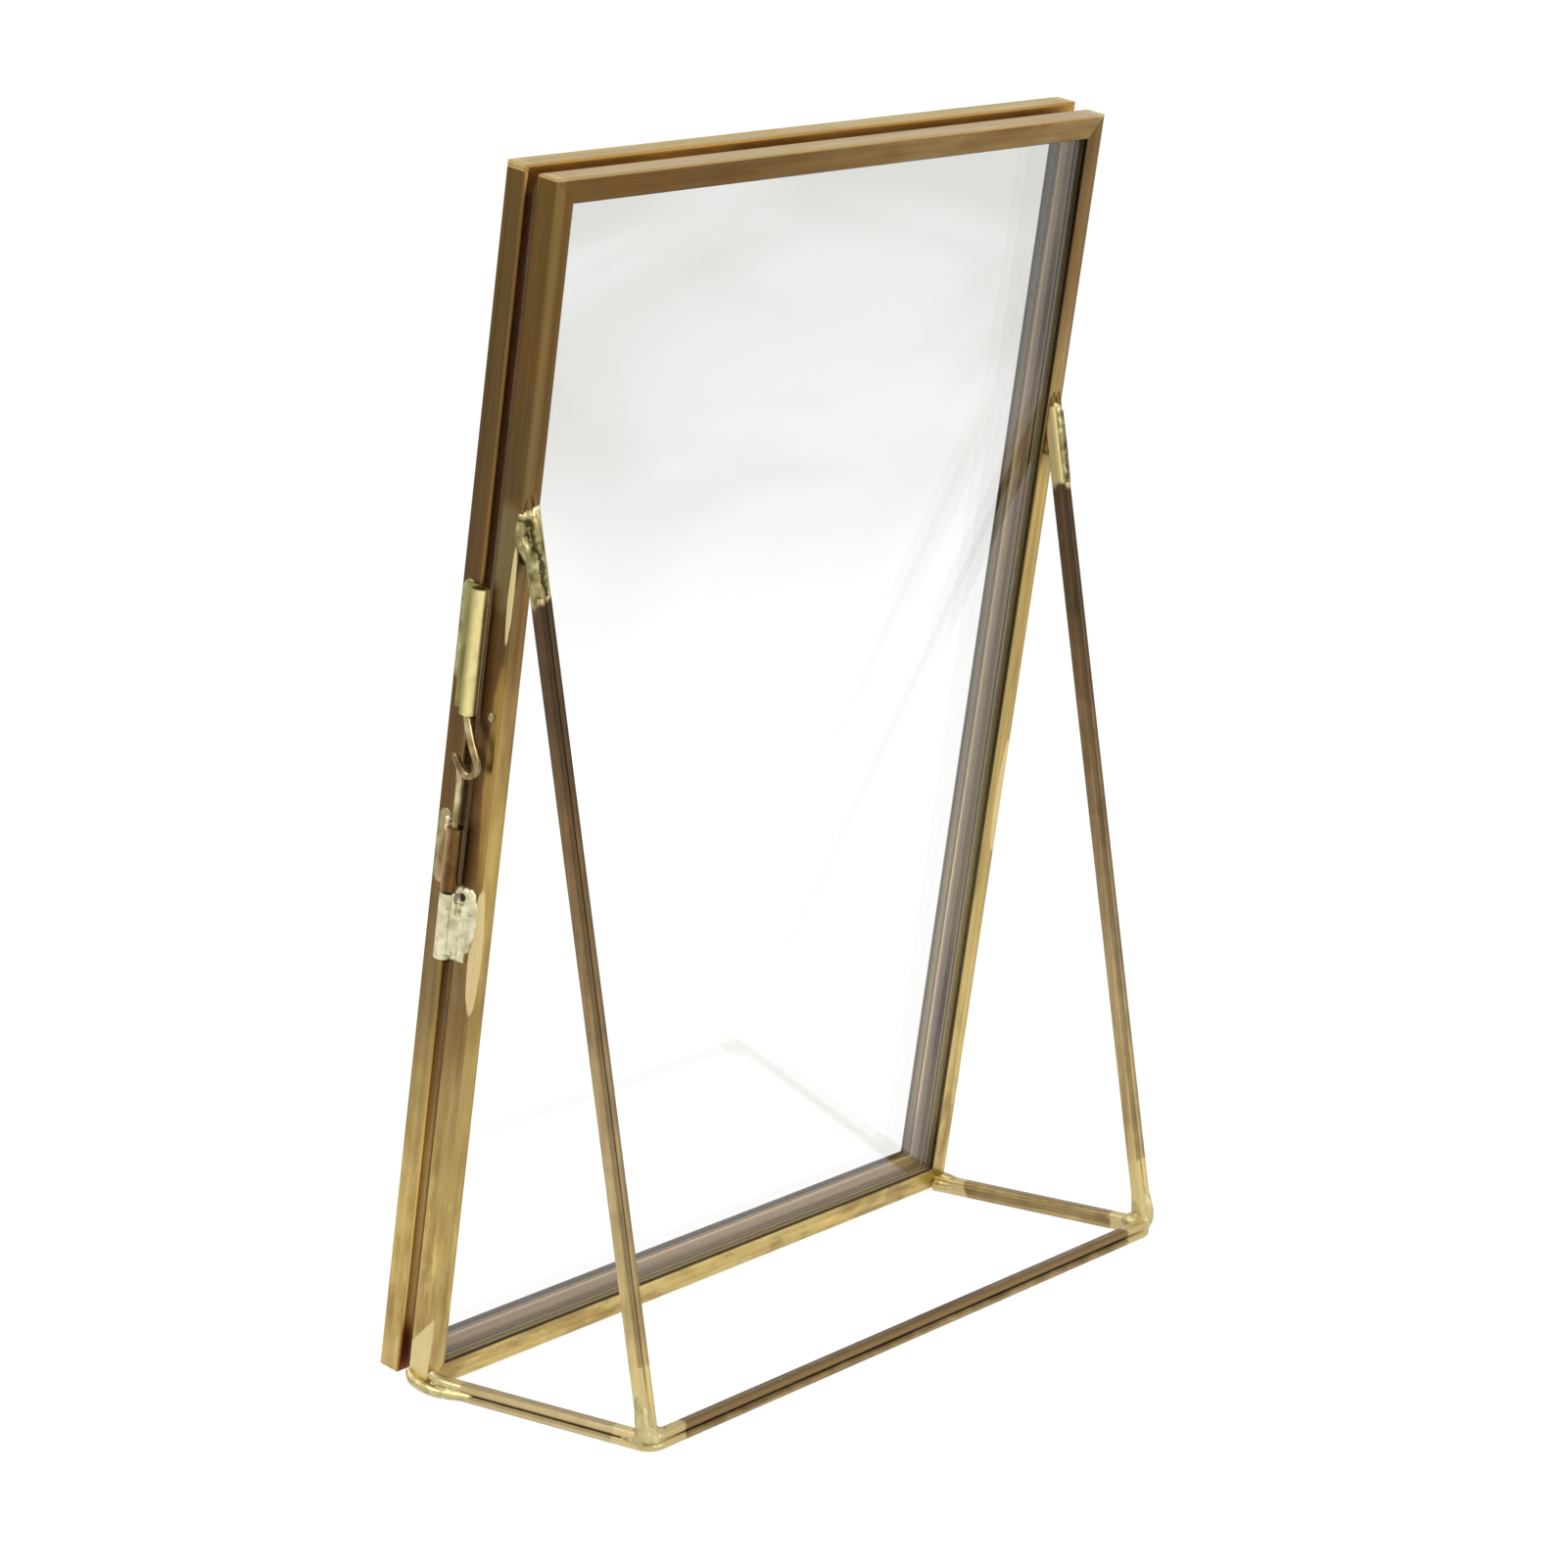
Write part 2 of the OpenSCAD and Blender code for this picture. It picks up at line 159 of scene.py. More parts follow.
def new_material(name):
    """An empty node material and its tree."""
    material = bpy.data.materials.new(name)
    material.use_nodes = True
    material.node_tree.nodes.clear()
    return material, material.node_tree


def put_on(material, *nodes):
    """Gives solids of the CAD model this material in place of their plain one."""
    for name in nodes:
        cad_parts[name].material_slots[0].material = material


print("aged brass reads as", tuple(round(c, 3) for c in linear("8a7444")[:3]))

# %% [markdown]
# ## The floor
#
# The frame stands on white paper that turns into the background without a line. For what is
# seen directly, in a reflection or through glass, most of that white is the paper's own, so
# only a soft shadow is left where the stand touches it. A Light Path node tells those rays
# from the ones that only carry light.

# %% The floor
# Its side in metres, so large that its edge is never seen.
FLOOR_SIZE = 30
WHITE = (1, 1, 1, 1)
# How much of the paper's white still takes shadow, and how much is its own.
SHADED_GREY = (0.22, 0.22, 0.22, 1)
OWN_WHITE = 0.88


def rays_seen(tree):
    """1 for what is seen directly, in a reflection or through glass, and 0 for other rays."""
    rays = add(tree, "LightPath").outputs
    seen = add(tree, "Math", LARGER, {0: rays["Is Camera Ray"], 1: rays["Is Glossy Ray"]})
    return add(tree, "Math", LARGER, {0: seen, 1: rays["Is Transmission Ray"]})


bpy.ops.object.select_all(action="DESELECT")
bpy.ops.mesh.primitive_plane_add(size=FLOOR_SIZE, location=(0, 0, 0))
floor = bpy.context.object
floor.name = "paper_floor"
paper, tree = new_material("white_paper")
lit = add(tree, "BsdfDiffuse", None, {"Color": linear("e8e8e6")})
shaded = add(tree, "BsdfDiffuse", None, {"Color": SHADED_GREY})
own_white = add(tree, "Emission", None, {"Color": WHITE, "Strength": OWN_WHITE})
pale = add(tree, "AddShader", None, {0: shaded, 1: own_white})
paper_mix = add(tree, "MixShader", None, {0: rays_seen(tree), 1: lit, 2: pale})
add(tree, "OutputMaterial", None, {"Surface": paper_mix})
floor.data.materials.append(paper)
print("floor", floor.name)

# %% [markdown]
# ## The sky
#
# An even sky lights the brass from all sides at a plain level. Where it is seen, it is the full
# white of the photograph's background, which would be too much light on the brass. One world
# can be both, with the same test of the rays as for the paper.

# %% The sky
SKY_LIGHT = 0.6
world = bpy.data.worlds.new("studio")
bpy.context.scene.world = world
world.use_nodes = True
tree = world.node_tree
tree.nodes.clear()
sky = add(tree, "Background", None, {"Color": WHITE, "Strength": SKY_LIGHT})
backdrop = add(tree, "Background", None, {"Color": WHITE, "Strength": 1.0})
sky_mix = add(tree, "MixShader", None, {0: rays_seen(tree), 1: sky, 2: backdrop})
add(tree, "OutputWorld", None, {"Surface": sky_mix})
print("sky", world.name)

# %% [markdown]
# ## The lamps
#
# Two large soft lamps give the brass a direction of light without hard edges. The key lamp is
# behind the frame, where the camera is, and the top lamp is high up on the bolt's side.

# %% The lamps
FRAME_MIDDLE = Vector((0, 0, 0.08))


def soft_lamp(name, place, size, power):
    """A large square lamp that looks at the middle of the frame."""
    data = bpy.data.lights.new(name, "AREA")
    data.shape = "SQUARE"
    data.size = size
    data.energy = power
    lamp = bpy.data.objects.new(name, data)
    bpy.context.scene.collection.objects.link(lamp)
    aim = (FRAME_MIDDLE - Vector(place)).to_track_quat("-Z", "Y")
    lamp.matrix_world = Matrix.Translation(place) @ aim.to_matrix().to_4x4()
    return lamp


key_lamp = soft_lamp("key_lamp", (0.05, 1.2, 0.6), size=0.45, power=7)
top_lamp = soft_lamp("top_lamp", (0.7, -0.2, 1.2), size=0.8, power=8)
print("lamps", key_lamp.name, top_lamp.name)

# %% [markdown]
# ## Where a point of a material lies
#
# The brass of this frame changes with its place: up the slope, towards an edge, inside the
# opening. A material can know all that from Object coordinates, turned by the lean and scaled
# to millimetres by a Mapping node. Then each change of colour can be put in its real place.

# %% Coordinates
# Half a leaf's width, its height up the slope, and the depth of both leaves with their gap.
HALF_WIDTH = 55.0
LEAF_HEIGHT = 163.0
LEAVES_DEPTH = 8.7
TO_MM = (1 / MM,) * 3


def leaf_coordinates(tree):
    """Millimetres to the side, behind the rear face and up the slope, as X, Y and Z."""
    place = add(tree, "TexCoord").outputs["Object"]
    shift = (
        CENTRE_X,
        CENTRE_Y * math.cos(LEAN) + LIFT * math.sin(LEAN),
        CENTRE_Y * math.sin(LEAN) - LIFT * math.cos(LEAN),
    )
    lean = {"Location": shift, "Rotation": (LEAN, 0, 0), "Scale": TO_MM}
    return add(tree, "Mapping", None, {"Vector": place, **lean})


def own_coordinates(tree):
    """The part's own millimetres."""
    place = add(tree, "TexCoord").outputs["Object"]
    shift = (CENTRE_X, CENTRE_Y, 0)
    return add(tree, "Mapping", None, {"Vector": place, "Location": shift, "Scale": TO_MM})


def leaf_points(tree, top=LEAF_HEIGHT):
    """Where a point lies on its leaf, and how far in from the leaf's outline."""
    leaf = leaf_coordinates(tree)
    apart = add(tree, "SeparateXYZ", None, {0: leaf})
    across, behind, up = (apart.outputs[axis] for axis in "XYZ")
    side_x = add(tree, "Math", UNSIGNED, {0: across})
    to_side = add(tree, "Math", MINUS, {0: HALF_WIDTH, 1: side_x})
    to_top = add(tree, "Math", MINUS, {0: top, 1: up})
    to_end = add(tree, "Math", SMALLER, {0: to_top, 1: up})
    return SimpleNamespace(
        leaf=leaf,
        across=across,
        behind=behind,
        up=up,
        height=add(tree, "Math", OVER, {0: up, 1: LEAF_HEIGHT}),
        side_x=side_x,
        to_side=to_side,
        to_top=to_top,
        to_end=to_end,
        to_outline=add(tree, "Math", SMALLER, {0: to_side, 1: to_end}),
    )


print("a leaf is", 2 * HALF_WIDTH, "by", LEAF_HEIGHT, "mm")

# %% [markdown]
# ## The tint of solder
#
# Solder wets the brass beyond its own edge and leaves it pale there. Each joint gives such a
# patch as an egg, with its middle and its reach, and noise lets the edge wander. A Mapping node
# of the texture kind turns the egg into a ball, so that one distance is enough to test.

# %% The tint of solder
# How far a patch's edge wanders, as a share of its reach, in waves about 3 mm long.
WANDER = 0.4
WAVE_SCALE = 0.3


def solder_tint(tree, coordinates, joints, edge=0.08):
    """How much solder has wetted the brass, from 0 to 1, round each (middle, reach)."""
    noise = add(tree, "TexNoise", None, {"Vector": coordinates, "Scale": WAVE_SCALE, "Detail": 1.0})
    rim = 1 + WANDER / 2
    wetted = None
    for middle, reach in joints:
        egg = {"Vector": coordinates, "Location": middle, "Scale": reach}
        near = add(tree, "Mapping", {"vector_type": "TEXTURE"}, egg)
        far = add(tree, "VectorMath", {"operation": "LENGTH"}, {0: near}).outputs["Value"]
        uneven = add(tree, "Math", TIMES_PLUS, {0: noise, 1: WANDER, 2: far})
        one = add(tree, "MapRange", SMOOTH, {"Value": uneven, 1: rim + edge / 2, 2: rim - edge / 2})
        wetted = one if wetted is None else add(tree, "Math", LARGER, {0: wetted, 1: one})
    return wetted


print("an egg's rim lies at", 1 + WANDER / 2, "times its reach")

# %% [markdown]
# ## The skin of a metal
#
# Every metal here ends in the same way. A pattern makes it more satin in some places than in
# others, as handling and flux do, and a pattern gives it a relief too fine to model. So one
# function adds those last nodes, and a metal's own steps have only its colour to make.

# %% The skin of a metal


def metal_skin(tree, colour, satin, relief, metallic=1.0, specular=0.5):
    """A metal's last nodes. Satin is (pattern, roughness, roughness) and relief is (pattern,
    strength, depth in millimetres)."""
    pattern, least, most = satin
    rough = add(tree, "MapRange", None, {"Value": pattern, 1: 0.3, 2: 0.7, 3: least, 4: most})
    pattern, strength, depth = relief
    bump = add(tree, "Bump", None, {"Strength": strength, "Distance": depth * MM, "Height": pattern})
    skin = {"Base Color": colour, "Metallic": metallic, "Specular IOR Level": specular}
    skin = add(tree, "BsdfPrincipled", None, {**skin, "Roughness": rough, "Normal": bump})
    add(tree, "OutputMaterial", None, {"Surface": skin})


print("a metal's last nodes ready")

# %% [markdown]
# ## Aged brass channel
#
# The bars of the leaves are brass strip, folded into a channel and left unpolished. Brass like
# that is never one colour. Here it is painted olive-brown high up and golder low down, which is
# painted shade for the darker reflections high on the bars. One colour ramp up the slope gives
# that, shifted about by noise, and the faces and the sides have a ramp each, because the sides
# are painted darker as shade.

# %% Painted shade up the slope
# Height up the leaf, as a share of it, and the brass there, painted darker up the slope as shade.
FACE_COLOURS_PAINTED_SHADE = (
    (0.0, "c6ae6e"),
    (0.14, "b39b5c"),
    (0.36, "b0975b"),
    (0.47, "bca05a"),
    (0.58, "8f7446"),
    (0.7, "735730"),
    (0.8, "694f2a"),
    (1.0, "6a5029"),
)
SIDE_COLOURS_PAINTED_SHADE = (
    (0.0, "c6ae70"),
    (0.12, "bba264"),
    (0.22, "a68f58"),
    (0.34, "87714a"),
    (0.48, "6d5434"),
    (0.6, "5f482c"),
    (0.8, "5b482a"),
    (1.0, "634e2a"),
)
# On the hinge side the painted shade is lighter than on the bolt's side, so its colours sit
# higher up: from where to where across the leaf, and by how much, for bars along Z and for bars
# along X.
TO_HINGE = {
    "Z": {1: 12.0, 2: -54.0, 3: 0.1, 4: 0.3},
    "X": {1: 45.0, 2: -25.0, 3: 0.27, 4: 0.48},
}
# How far clouds of tarnish shift the colours up or down, as a share of the height.
CLOUD_SHIFT = 0.2


def tarnish_and_painted_shade(tree, at, along):
    """The channel's colour by height and side, darker up the slope and on the sides as painted
    shade, with patches of heat and flux.
    """
    to_hinge = add(tree, "MapRange", SMOOTH, {"Value": at.across, **TO_HINGE[along]})
    shifted = add(tree, "Math", TIMES_PLUS, {0: at.clouds, 1: CLOUD_SHIFT, 2: at.height})
    shifted = add(tree, "Math", MINUS, {0: shifted, 1: to_hinge})
    face = add(tree, "ValToRGB", None, {0: shifted}, FACE_COLOURS_PAINTED_SHADE)
    side = add(tree, "ValToRGB", None, {0: shifted}, SIDE_COLOURS_PAINTED_SHADE)
    # The sides take their darker ramp as painted shade.
    colour = add(tree, "Mix", MIX_COLOUR, {0: at.on_side, 6: face, 7: side})

    # Heat and handling turned some of the brass redder, in patches 4 mm across.
    blush = add(tree, "TexNoise", None, {"Vector": at.patches, "Scale": 0.22, "Detail": 2.0})
    redder = add(tree, "MapRange", SMOOTH, {"Value": blush, 1: 0.48, 2: 0.66, 4: 0.4})
    colour = add(tree, "Mix", MIX_COLOUR, {0: redder, 6: colour, 7: linear("6f4a20")})

    # Low down, where flux was wiped off, it has brown spots, and pale spots that are painted glints, 2
    # mm across.
    low_down = add(tree, "MapRange", SMOOTH, {"Value": at.height, 1: 0.35, 2: 0.05})
    spots = {"Vector": at.patches, "Scale": 0.55, "Detail": 3.0, "Roughness": 0.55}
    spots = add(tree, "TexNoise", None, spots)
    # The brown tone is a stain of flux; the pale tone is a painted glint.
    for start, full, tone in ((0.5, 0.66, "8c6c38"), (0.48, 0.32, "dcc47e")):
        spot = add(tree, "MapRange", SMOOTH, {"Value": spots, 1: start, 2: full, 4: 0.5})
        spot = add(tree, "Math", TIMES, {0: spot, 1: low_down})
        colour = add(tree, "Mix", MIX_COLOUR, {0: spot, 6: colour, 7: linear(tone)})
    return colour


print(len(FACE_COLOURS_PAINTED_SHADE), "colours up the faces and", len(SIDE_COLOURS_PAINTED_SHADE), "up the sides")

# %% [markdown]
# ## Inside the opening
#
# The faces that look into the opening carry the folded lips of both channels, which hold the
# glass. They are too fine to model as steps of a plain bar, so a ramp from the rear face
# inwards paints them: highlights on the ridges and shade in the lines between. They are dull,
# because no hand reaches them.

# %% Inside the opening
INNER_COLOURS = (
    (0.0, "bfa483"),
    (0.05, "bfa483"),
    (0.08, "fae8bc"),
    (0.3, "f2dda2"),
    (0.45, "baa672"),
    (0.6, "b7a26c"),
    (0.8, "9a835c"),
    (0.93, "5c4a30"),
)
# Inwards from the rear face, as a share of both leaves' depth, and the painted highlight and shade of
# the folds there.
INNER_FOLD_LIGHT = (
    (0.0, "5a5a5a"),
    (0.08, "3c3c3c"),
    (0.13, "e6e6e6"),
    (0.24, "ffffff"),
    (0.33, "6e6e6e"),
    (0.42, "8c8c8c"),
    (0.55, "5a5a5a"),
    (0.64, "ffffff"),
    (0.76, "bebebe"),
    (0.9, "6e6e6e"),
    (1.0, "505050"),
)


def inner_faces(tree, at, colour):
    """Dull brass on the faces that look into the opening, with painted highlight and shade for the
    folds.
    """
    dull = add(tree, "ValToRGB", None, {0: at.height}, INNER_COLOURS)
    inwards = add(tree, "MapRange", None, {"Value": at.behind, 1: 0.0, 2: -LEAVES_DEPTH})
    folds = add(tree, "ValToRGB", None, {0: inwards}, INNER_FOLD_LIGHT)
    dull = add(tree, "Mix", TINT, {0: 1.0, 6: dull, 7: folds})
    return add(tree, "Mix", MIX_COLOUR, {0: at.inner, 6: colour, 7: dull})


print(len(INNER_FOLD_LIGHT), "stops for the folds")

# %% [markdown]
# ## Painted light on tops and edges
#
# The faces on top are painted lighter than the rest, as they look up at the sky, and their
# corners carry a painted highlight. The rear leaf's rear face has a painted highlight along its
# outer edges. Each is a soft mask from the leaf's coordinates with one flat colour.

# %% Painted light on tops and edges
# Each of these says where something starts and where it is full, in millimetres, as the From
# Min and From Max of a Map Range node.
TOP_FACE = {1: LEAF_HEIGHT - 0.4, 2: LEAF_HEIGHT - 0.15}
TOP_CORNER_HIGHLIGHT = {1: 53.2, 2: 53.9}
REAR_EDGE_HIGHLIGHT = {1: 53.2, 2: 54.0}
REAR_FACE = {1: -0.4, 2: -0.1}
# From the rear leaf's top to the front leaf's, which is golder.
REAR_TO_FRONT = {1: -3.6, 2: -5.0}


def painted_tops_and_edges(tree, at, colour):
    """Tops painted lighter, with painted highlights at their corners and along the rear face's outer
    edges.
    """
    on_top = add(tree, "MapRange", SMOOTH, {"Value": at.up, **TOP_FACE})
    golden = add(tree, "MapRange", SMOOTH, {"Value": at.behind, **REAR_TO_FRONT})
    top = add(tree, "Mix", MIX_COLOUR, {0: golden, 6: linear("b59965"), 7: linear("b0944c")})
    colour = add(tree, "Mix", MIX_COLOUR, {0: on_top, 6: colour, 7: top})
    # The corners of the tops get a painted highlight.
    at_corner = add(tree, "MapRange", SMOOTH, {"Value": at.side_x, **TOP_CORNER_HIGHLIGHT})
    corner_highlight = add(tree, "Math", TIMES, {0: at_corner, 1: on_top})
    colour = add(tree, "Mix", MIX_COLOUR, {0: corner_highlight, 6: colour, 7: linear("c2a76a")})
    # The rear face's outer edges get a painted highlight.
    outer = add(tree, "MapRange", SMOOTH, {"Value": at.side_x, **REAR_EDGE_HIGHLIGHT})
    at_rear = add(tree, "MapRange", SMOOTH, {"Value": at.behind, **REAR_FACE})
    edge_highlight = add(tree, "Math", TIMES, {0: outer, 1: at_rear})
    edge_highlight = add(tree, "Math", TIMES, {0: edge_highlight, 1: 0.15})
    return add(tree, "Mix", MIX_COLOUR, {0: edge_highlight, 6: colour, 7: linear("b39b63")})


print("the tops start", TOP_FACE[1], "mm up")

# %% [markdown]
# ## The groove between the leaves
#
# Two closed leaves leave a narrow groove all round, and it is painted brown as the shade between
# the leaves. It is seen from outside only on the bolt's side and on top. The parts of it that lie
# deeper are seen through the glass and are a paler, dull brown. Beside it, the front leaf's fold
# carries a thin golden painted highlight, and at each corner a faint dark line shows where two
# bars meet.

# %% The groove between the leaves
# Its middle, and how far from there its walls stand.
GROOVE = -4.35
GROOVE_WALL = {1: 1.14, 2: 1.06}
# How far in from the outside it counts as deep.
GROOVE_DEEP = {1: 1.3, 2: 2.0}
# The front leaf's fold, and how far from there its golden painted highlight reaches.
FRONT_FOLD = -5.5
FOLD_HIGHLIGHT = {1: 0.32, 2: 0.1, 4: 0.35}
MITRE_LINE = {1: 0.25, 2: 0.05, 4: 0.35}
GROOVE_SHADE_COLOURS = (
    (0.0, "8a4a22"),
    (0.04, "90521f"),
    (0.055, "c8a65c"),
    (0.2, "cba75c"),
    (0.28, "a07f45"),
    (0.38, "5f4316"),
    (0.55, "523510"),
    (0.98, "522e10"),
    (0.995, "b48a44"),
)


def shaded_groove(tree, at, colour):
    """Painted shade in the groove, a painted highlight on the fold beside it and the mitres at the
    corners.
    """
    # Painted shade in the groove between the leaves.
    groove_shade = add(tree, "ValToRGB", None, {0: at.height}, GROOVE_SHADE_COLOURS)
    groove_shade = add(tree, "Mix", MIX_COLOUR, {0: at.deep, 6: groove_shade, 7: linear("a08660")})
    colour = add(tree, "Mix", MIX_COLOUR, {0: at.in_groove, 6: colour, 7: groove_shade})
    # The golden line along the front leaf's fold is a painted highlight.
    edge = add(tree, "Math", MINUS, {0: at.behind, 1: FRONT_FOLD})
    edge = add(tree, "Math", UNSIGNED, {0: edge})
    edge = add(tree, "MapRange", SMOOTH, {"Value": edge, **FOLD_HIGHLIGHT})
    edge = add(tree, "Math", TIMES, {0: edge, 1: at.on_side})
    colour = add(tree, "Mix", MIX_COLOUR, {0: edge, 6: colour, 7: linear("a4834c")})
    off_mitre = add(tree, "Math", MINUS, {0: at.to_side, 1: at.to_end})
    off_mitre = add(tree, "Math", UNSIGNED, {0: off_mitre})
    mitre = add(tree, "MapRange", SMOOTH, {"Value": off_mitre, **MITRE_LINE})
    return add(tree, "Mix", MIX_COLOUR, {0: mitre, 6: colour, 7: linear("4c3a1c")})


print("the groove's middle lies", -GROOVE, "mm in front of the rear face")

# %% [markdown]
# ## Stains on the sides
#
# Heat from the torch and boiling flux have stained the sides brown and olive round the bolt's
# tubes, and solder has wetted them. Low on the rear leaf, flat pale solder was brushed on, with
# a slanting edge. The eggs of the solder tint do the first two, and one sloping line the last.

# %% Stains on the sides
# Where solder has wetted them, below the keeper and below the strut's top: middle and reach.
LEAF_JOINTS = (
    ((54.6, 0.2, 62.3), (1.2, 1.2, 8.8)),
    ((55.0, -0.35, 110.0), (0.42, 0.45, 6.4)),
)
# Each stain's middle, its reach, its colour and how much of it shows at most.
STAINS = (
    ((55.0, -3.5, 96.0), (1.0, 1.5, 17.0), "55341b", 0.55),
    ((55.0, -0.3, 87.0), (1.0, 1.2, 14.0), "b8944f", 0.55),
    ((55.0, -2.0, 115.0), (2.0, 3.0, 7.0), "8d8458", 0.35),
)
# The brushed solder ends at this height on the rear edge, and so much higher per mm inwards.
BRUSHED_UP_TO = {1: 10.7, 2: 10.3}
BRUSH_SLOPE = -1.29
# From the gap to the rear leaf.
REAR_LEAF = {1: -3.6, 2: -3.4}


def stained_sides(tree, at, colour):
    """Stains of heat and flux, and thin solder, on the sides of the leaves."""
    either_side = add(tree, "CombineXYZ", None, {0: at.side_x, 1: at.behind, 2: at.up})
    for middle, reach, stain, most in STAINS:
        stained = solder_tint(tree, either_side, ((middle, reach),), edge=0.4)
        stained = add(tree, "Math", TIMES, {0: stained, 1: most})
        colour = add(tree, "Mix", MIX_COLOUR, {0: stained, 6: colour, 7: linear(stain)})
    wetted = solder_tint(tree, either_side, LEAF_JOINTS)
    wetted = add(tree, "Math", TIMES, {0: wetted, 1: 0.85})
    colour = add(tree, "Mix", MIX_COLOUR, {0: wetted, 6: colour, 7: linear("dcc690")})
    slope = add(tree, "Math", TIMES_PLUS, {0: at.behind, 1: BRUSH_SLOPE, 2: at.up})
    below = add(tree, "MapRange", SMOOTH, {"Value": slope, **BRUSHED_UP_TO})
    rear_leaf = add(tree, "MapRange", SMOOTH, {"Value": at.behind, **REAR_LEAF})
    brushed = add(tree, "Math", TIMES, {0: below, 1: rear_leaf})
    brushed = add(tree, "Math", TIMES, {0: brushed, 1: at.on_side})
    brushed = add(tree, "Math", TIMES, {0: brushed, 1: 0.85})
    return add(tree, "Mix", MIX_COLOUR, {0: brushed, 6: colour, 7: linear("d8c490")})


print(len(STAINS), "stains and", len(LEAF_JOINTS), "wetted places")

# %% [markdown]
# ## The channel brass, put together
#
# The steps above are laid over each other in order, the painted light and shade among the marks
# that the real brass has. Soft bands from the folding rollers run along each bar, so noise is
# stretched along it, and bars that run up and bars that run across need a material each. Bare
# brass is a metal, but the oxide deep inside scatters light like earth, so the material stops
# being one there.

# %% The channel brass
SIDE_FACE = {1: HALF_WIDTH - 0.4, 2: HALF_WIDTH - 0.2}
# In from the leaf's outline, where the bar's face ends and its inner face starts.
INNER_FACE = {1: 3.05, 2: 3.2}
# A pattern's scale along the bar, as a share of its scale across it.
BAND_STRETCH = 0.02
CLOUD_STRETCH = 0.3


def channel_brass(name, along):
    """Aged folded brass for bars that run along the leaf's X or Z."""
    material, tree = new_material(name)
    at = leaf_points(tree)
    # Roller bands 0.8 mm across and 40 mm long, and clouds of tarnish 3 by 11 mm.
    stretch = [BAND_STRETCH if axis == along else 1.0 for axis in "XYZ"]
    lines = add(tree, "Mapping", None, {"Vector": at.leaf, "Scale": stretch})
    bands = {"Vector": lines, "Scale": 1.2, "Detail": 3.0, "Roughness": 0.55}
    bands = add(tree, "TexNoise", None, bands)
    stretch = [CLOUD_STRETCH if axis == along else 1.0 for axis in "XYZ"]
    at.patches = add(tree, "Mapping", None, {"Vector": at.leaf, "Scale": stretch})
    clouds = {"Vector": at.patches, "Scale": 0.3, "Detail": 4.0, "Roughness": 0.6}
    at.clouds = add(tree, "TexNoise", None, clouds)

    at.on_side = add(tree, "MapRange", SMOOTH, {"Value": at.side_x, **SIDE_FACE})
    at.inner = add(tree, "MapRange", SMOOTH, {"Value": at.to_outline, **INNER_FACE})
    off_groove = add(tree, "Math", MINUS, {0: at.behind, 1: GROOVE})
    off_groove = add(tree, "Math", UNSIGNED, {0: off_groove})
    at.in_groove = add(tree, "MapRange", SMOOTH, {"Value": off_groove, **GROOVE_WALL})
    to_open = add(tree, "Math", MINUS, {0: HALF_WIDTH, 1: at.across})
    to_open = add(tree, "Math", SMALLER, {0: to_open, 1: at.to_top})
    at.deep = add(tree, "MapRange", SMOOTH, {"Value": to_open, **GROOVE_DEEP})

    colour = tarnish_and_painted_shade(tree, at, along)
    colour = inner_faces(tree, at, colour)
    colour = painted_tops_and_edges(tree, at, colour)
    colour = shaded_groove(tree, at, colour)
    tone = add(tree, "MapRange", None, {"Value": bands, 1: 0.3, 2: 0.7, 3: 0.8, 4: 1.2})
    colour = add(tree, "Mix", TINT, {0: 1.0, 6: colour, 7: tone})
    colour = stained_sides(tree, at, colour)

    within = add(tree, "Math", TIMES, {0: at.deep, 1: at.in_groove})
    within = add(tree, "Math", LARGER, {0: within, 1: at.inner})
    bare = add(tree, "MapRange", None, {"Value": within, 3: 1.0, 4: 0.0})
    sheen = add(tree, "MapRange", None, {"Value": within, 3: 0.5, 4: 0.05})
    metal_skin(tree, colour, (at.clouds, 0.3, 0.46), (bands, 0.25, 0.06), bare, sheen)
    return material


upright_brass = channel_brass("aged_shaded_channel_brass_upright", "Z")
crosswise_brass = channel_brass("aged_shaded_channel_brass_crosswise", "X")
for leaf in ("rear_leaf", "front_leaf"):
    put_on(crosswise_brass, f"{leaf}_top_bar", f"{leaf}_bottom_bar")
    put_on(upright_brass, f"{leaf}_hinge_bar", f"{leaf}_latch_bar")
print("channel brass on 8 bars")

# %% [markdown]
# ## Brass strip of the stand
#
# The stand is bent from thinner strip that is folded shut, so it shows two round ridges with a
# dark seam between them. It is the same brass, but it was heated all along for bending and
# soldering, which mottles it with brown and leaves pale solder near each joint. The ridges are
# modelled in the CAD bars, and a ramp across the seam paints highlights and shade on them.

# %% Colours and places on the strip
STRIP_HEIGHT = 2.4
STRUT_HEIGHT = 118.0
# Where solder has wetted it, at the rear corners, the front ends and the strut tops: middle
# and reach.
STAND_JOINTS = (
    ((STAND_X, 38.0, 1.2), (6.0, 5.4, 10.0)),
    ((STAND_X, 0, 1.2), (4, 6.5, 6)),
    ((STAND_X, 25.05, 118.4), (4, 8, 11.5)),
)
# Off the seam, as a share of half the strip's height, and the painted light and shade on the ridge
# there.
FLOOR_RIDGE_LIGHT = (
    (0.0, "e0e0e0"),
    (0.12, "c8c8c8"),
    (0.25, "c8c8c8"),
    (0.5, "ffffff"),
    (0.8, "f0f0f0"),
    (1.0, "d2d2d2"),
)
# On a strut the seam is painted light against its real shade, the flanks darker, the side faces
# lighter.
STRUT_RIDGE_LIGHT = ((0.0, "ffffff"), (0.3, "d2d2d2"), (0.8, "b4b4b4"), (0.95, "ffffff"))
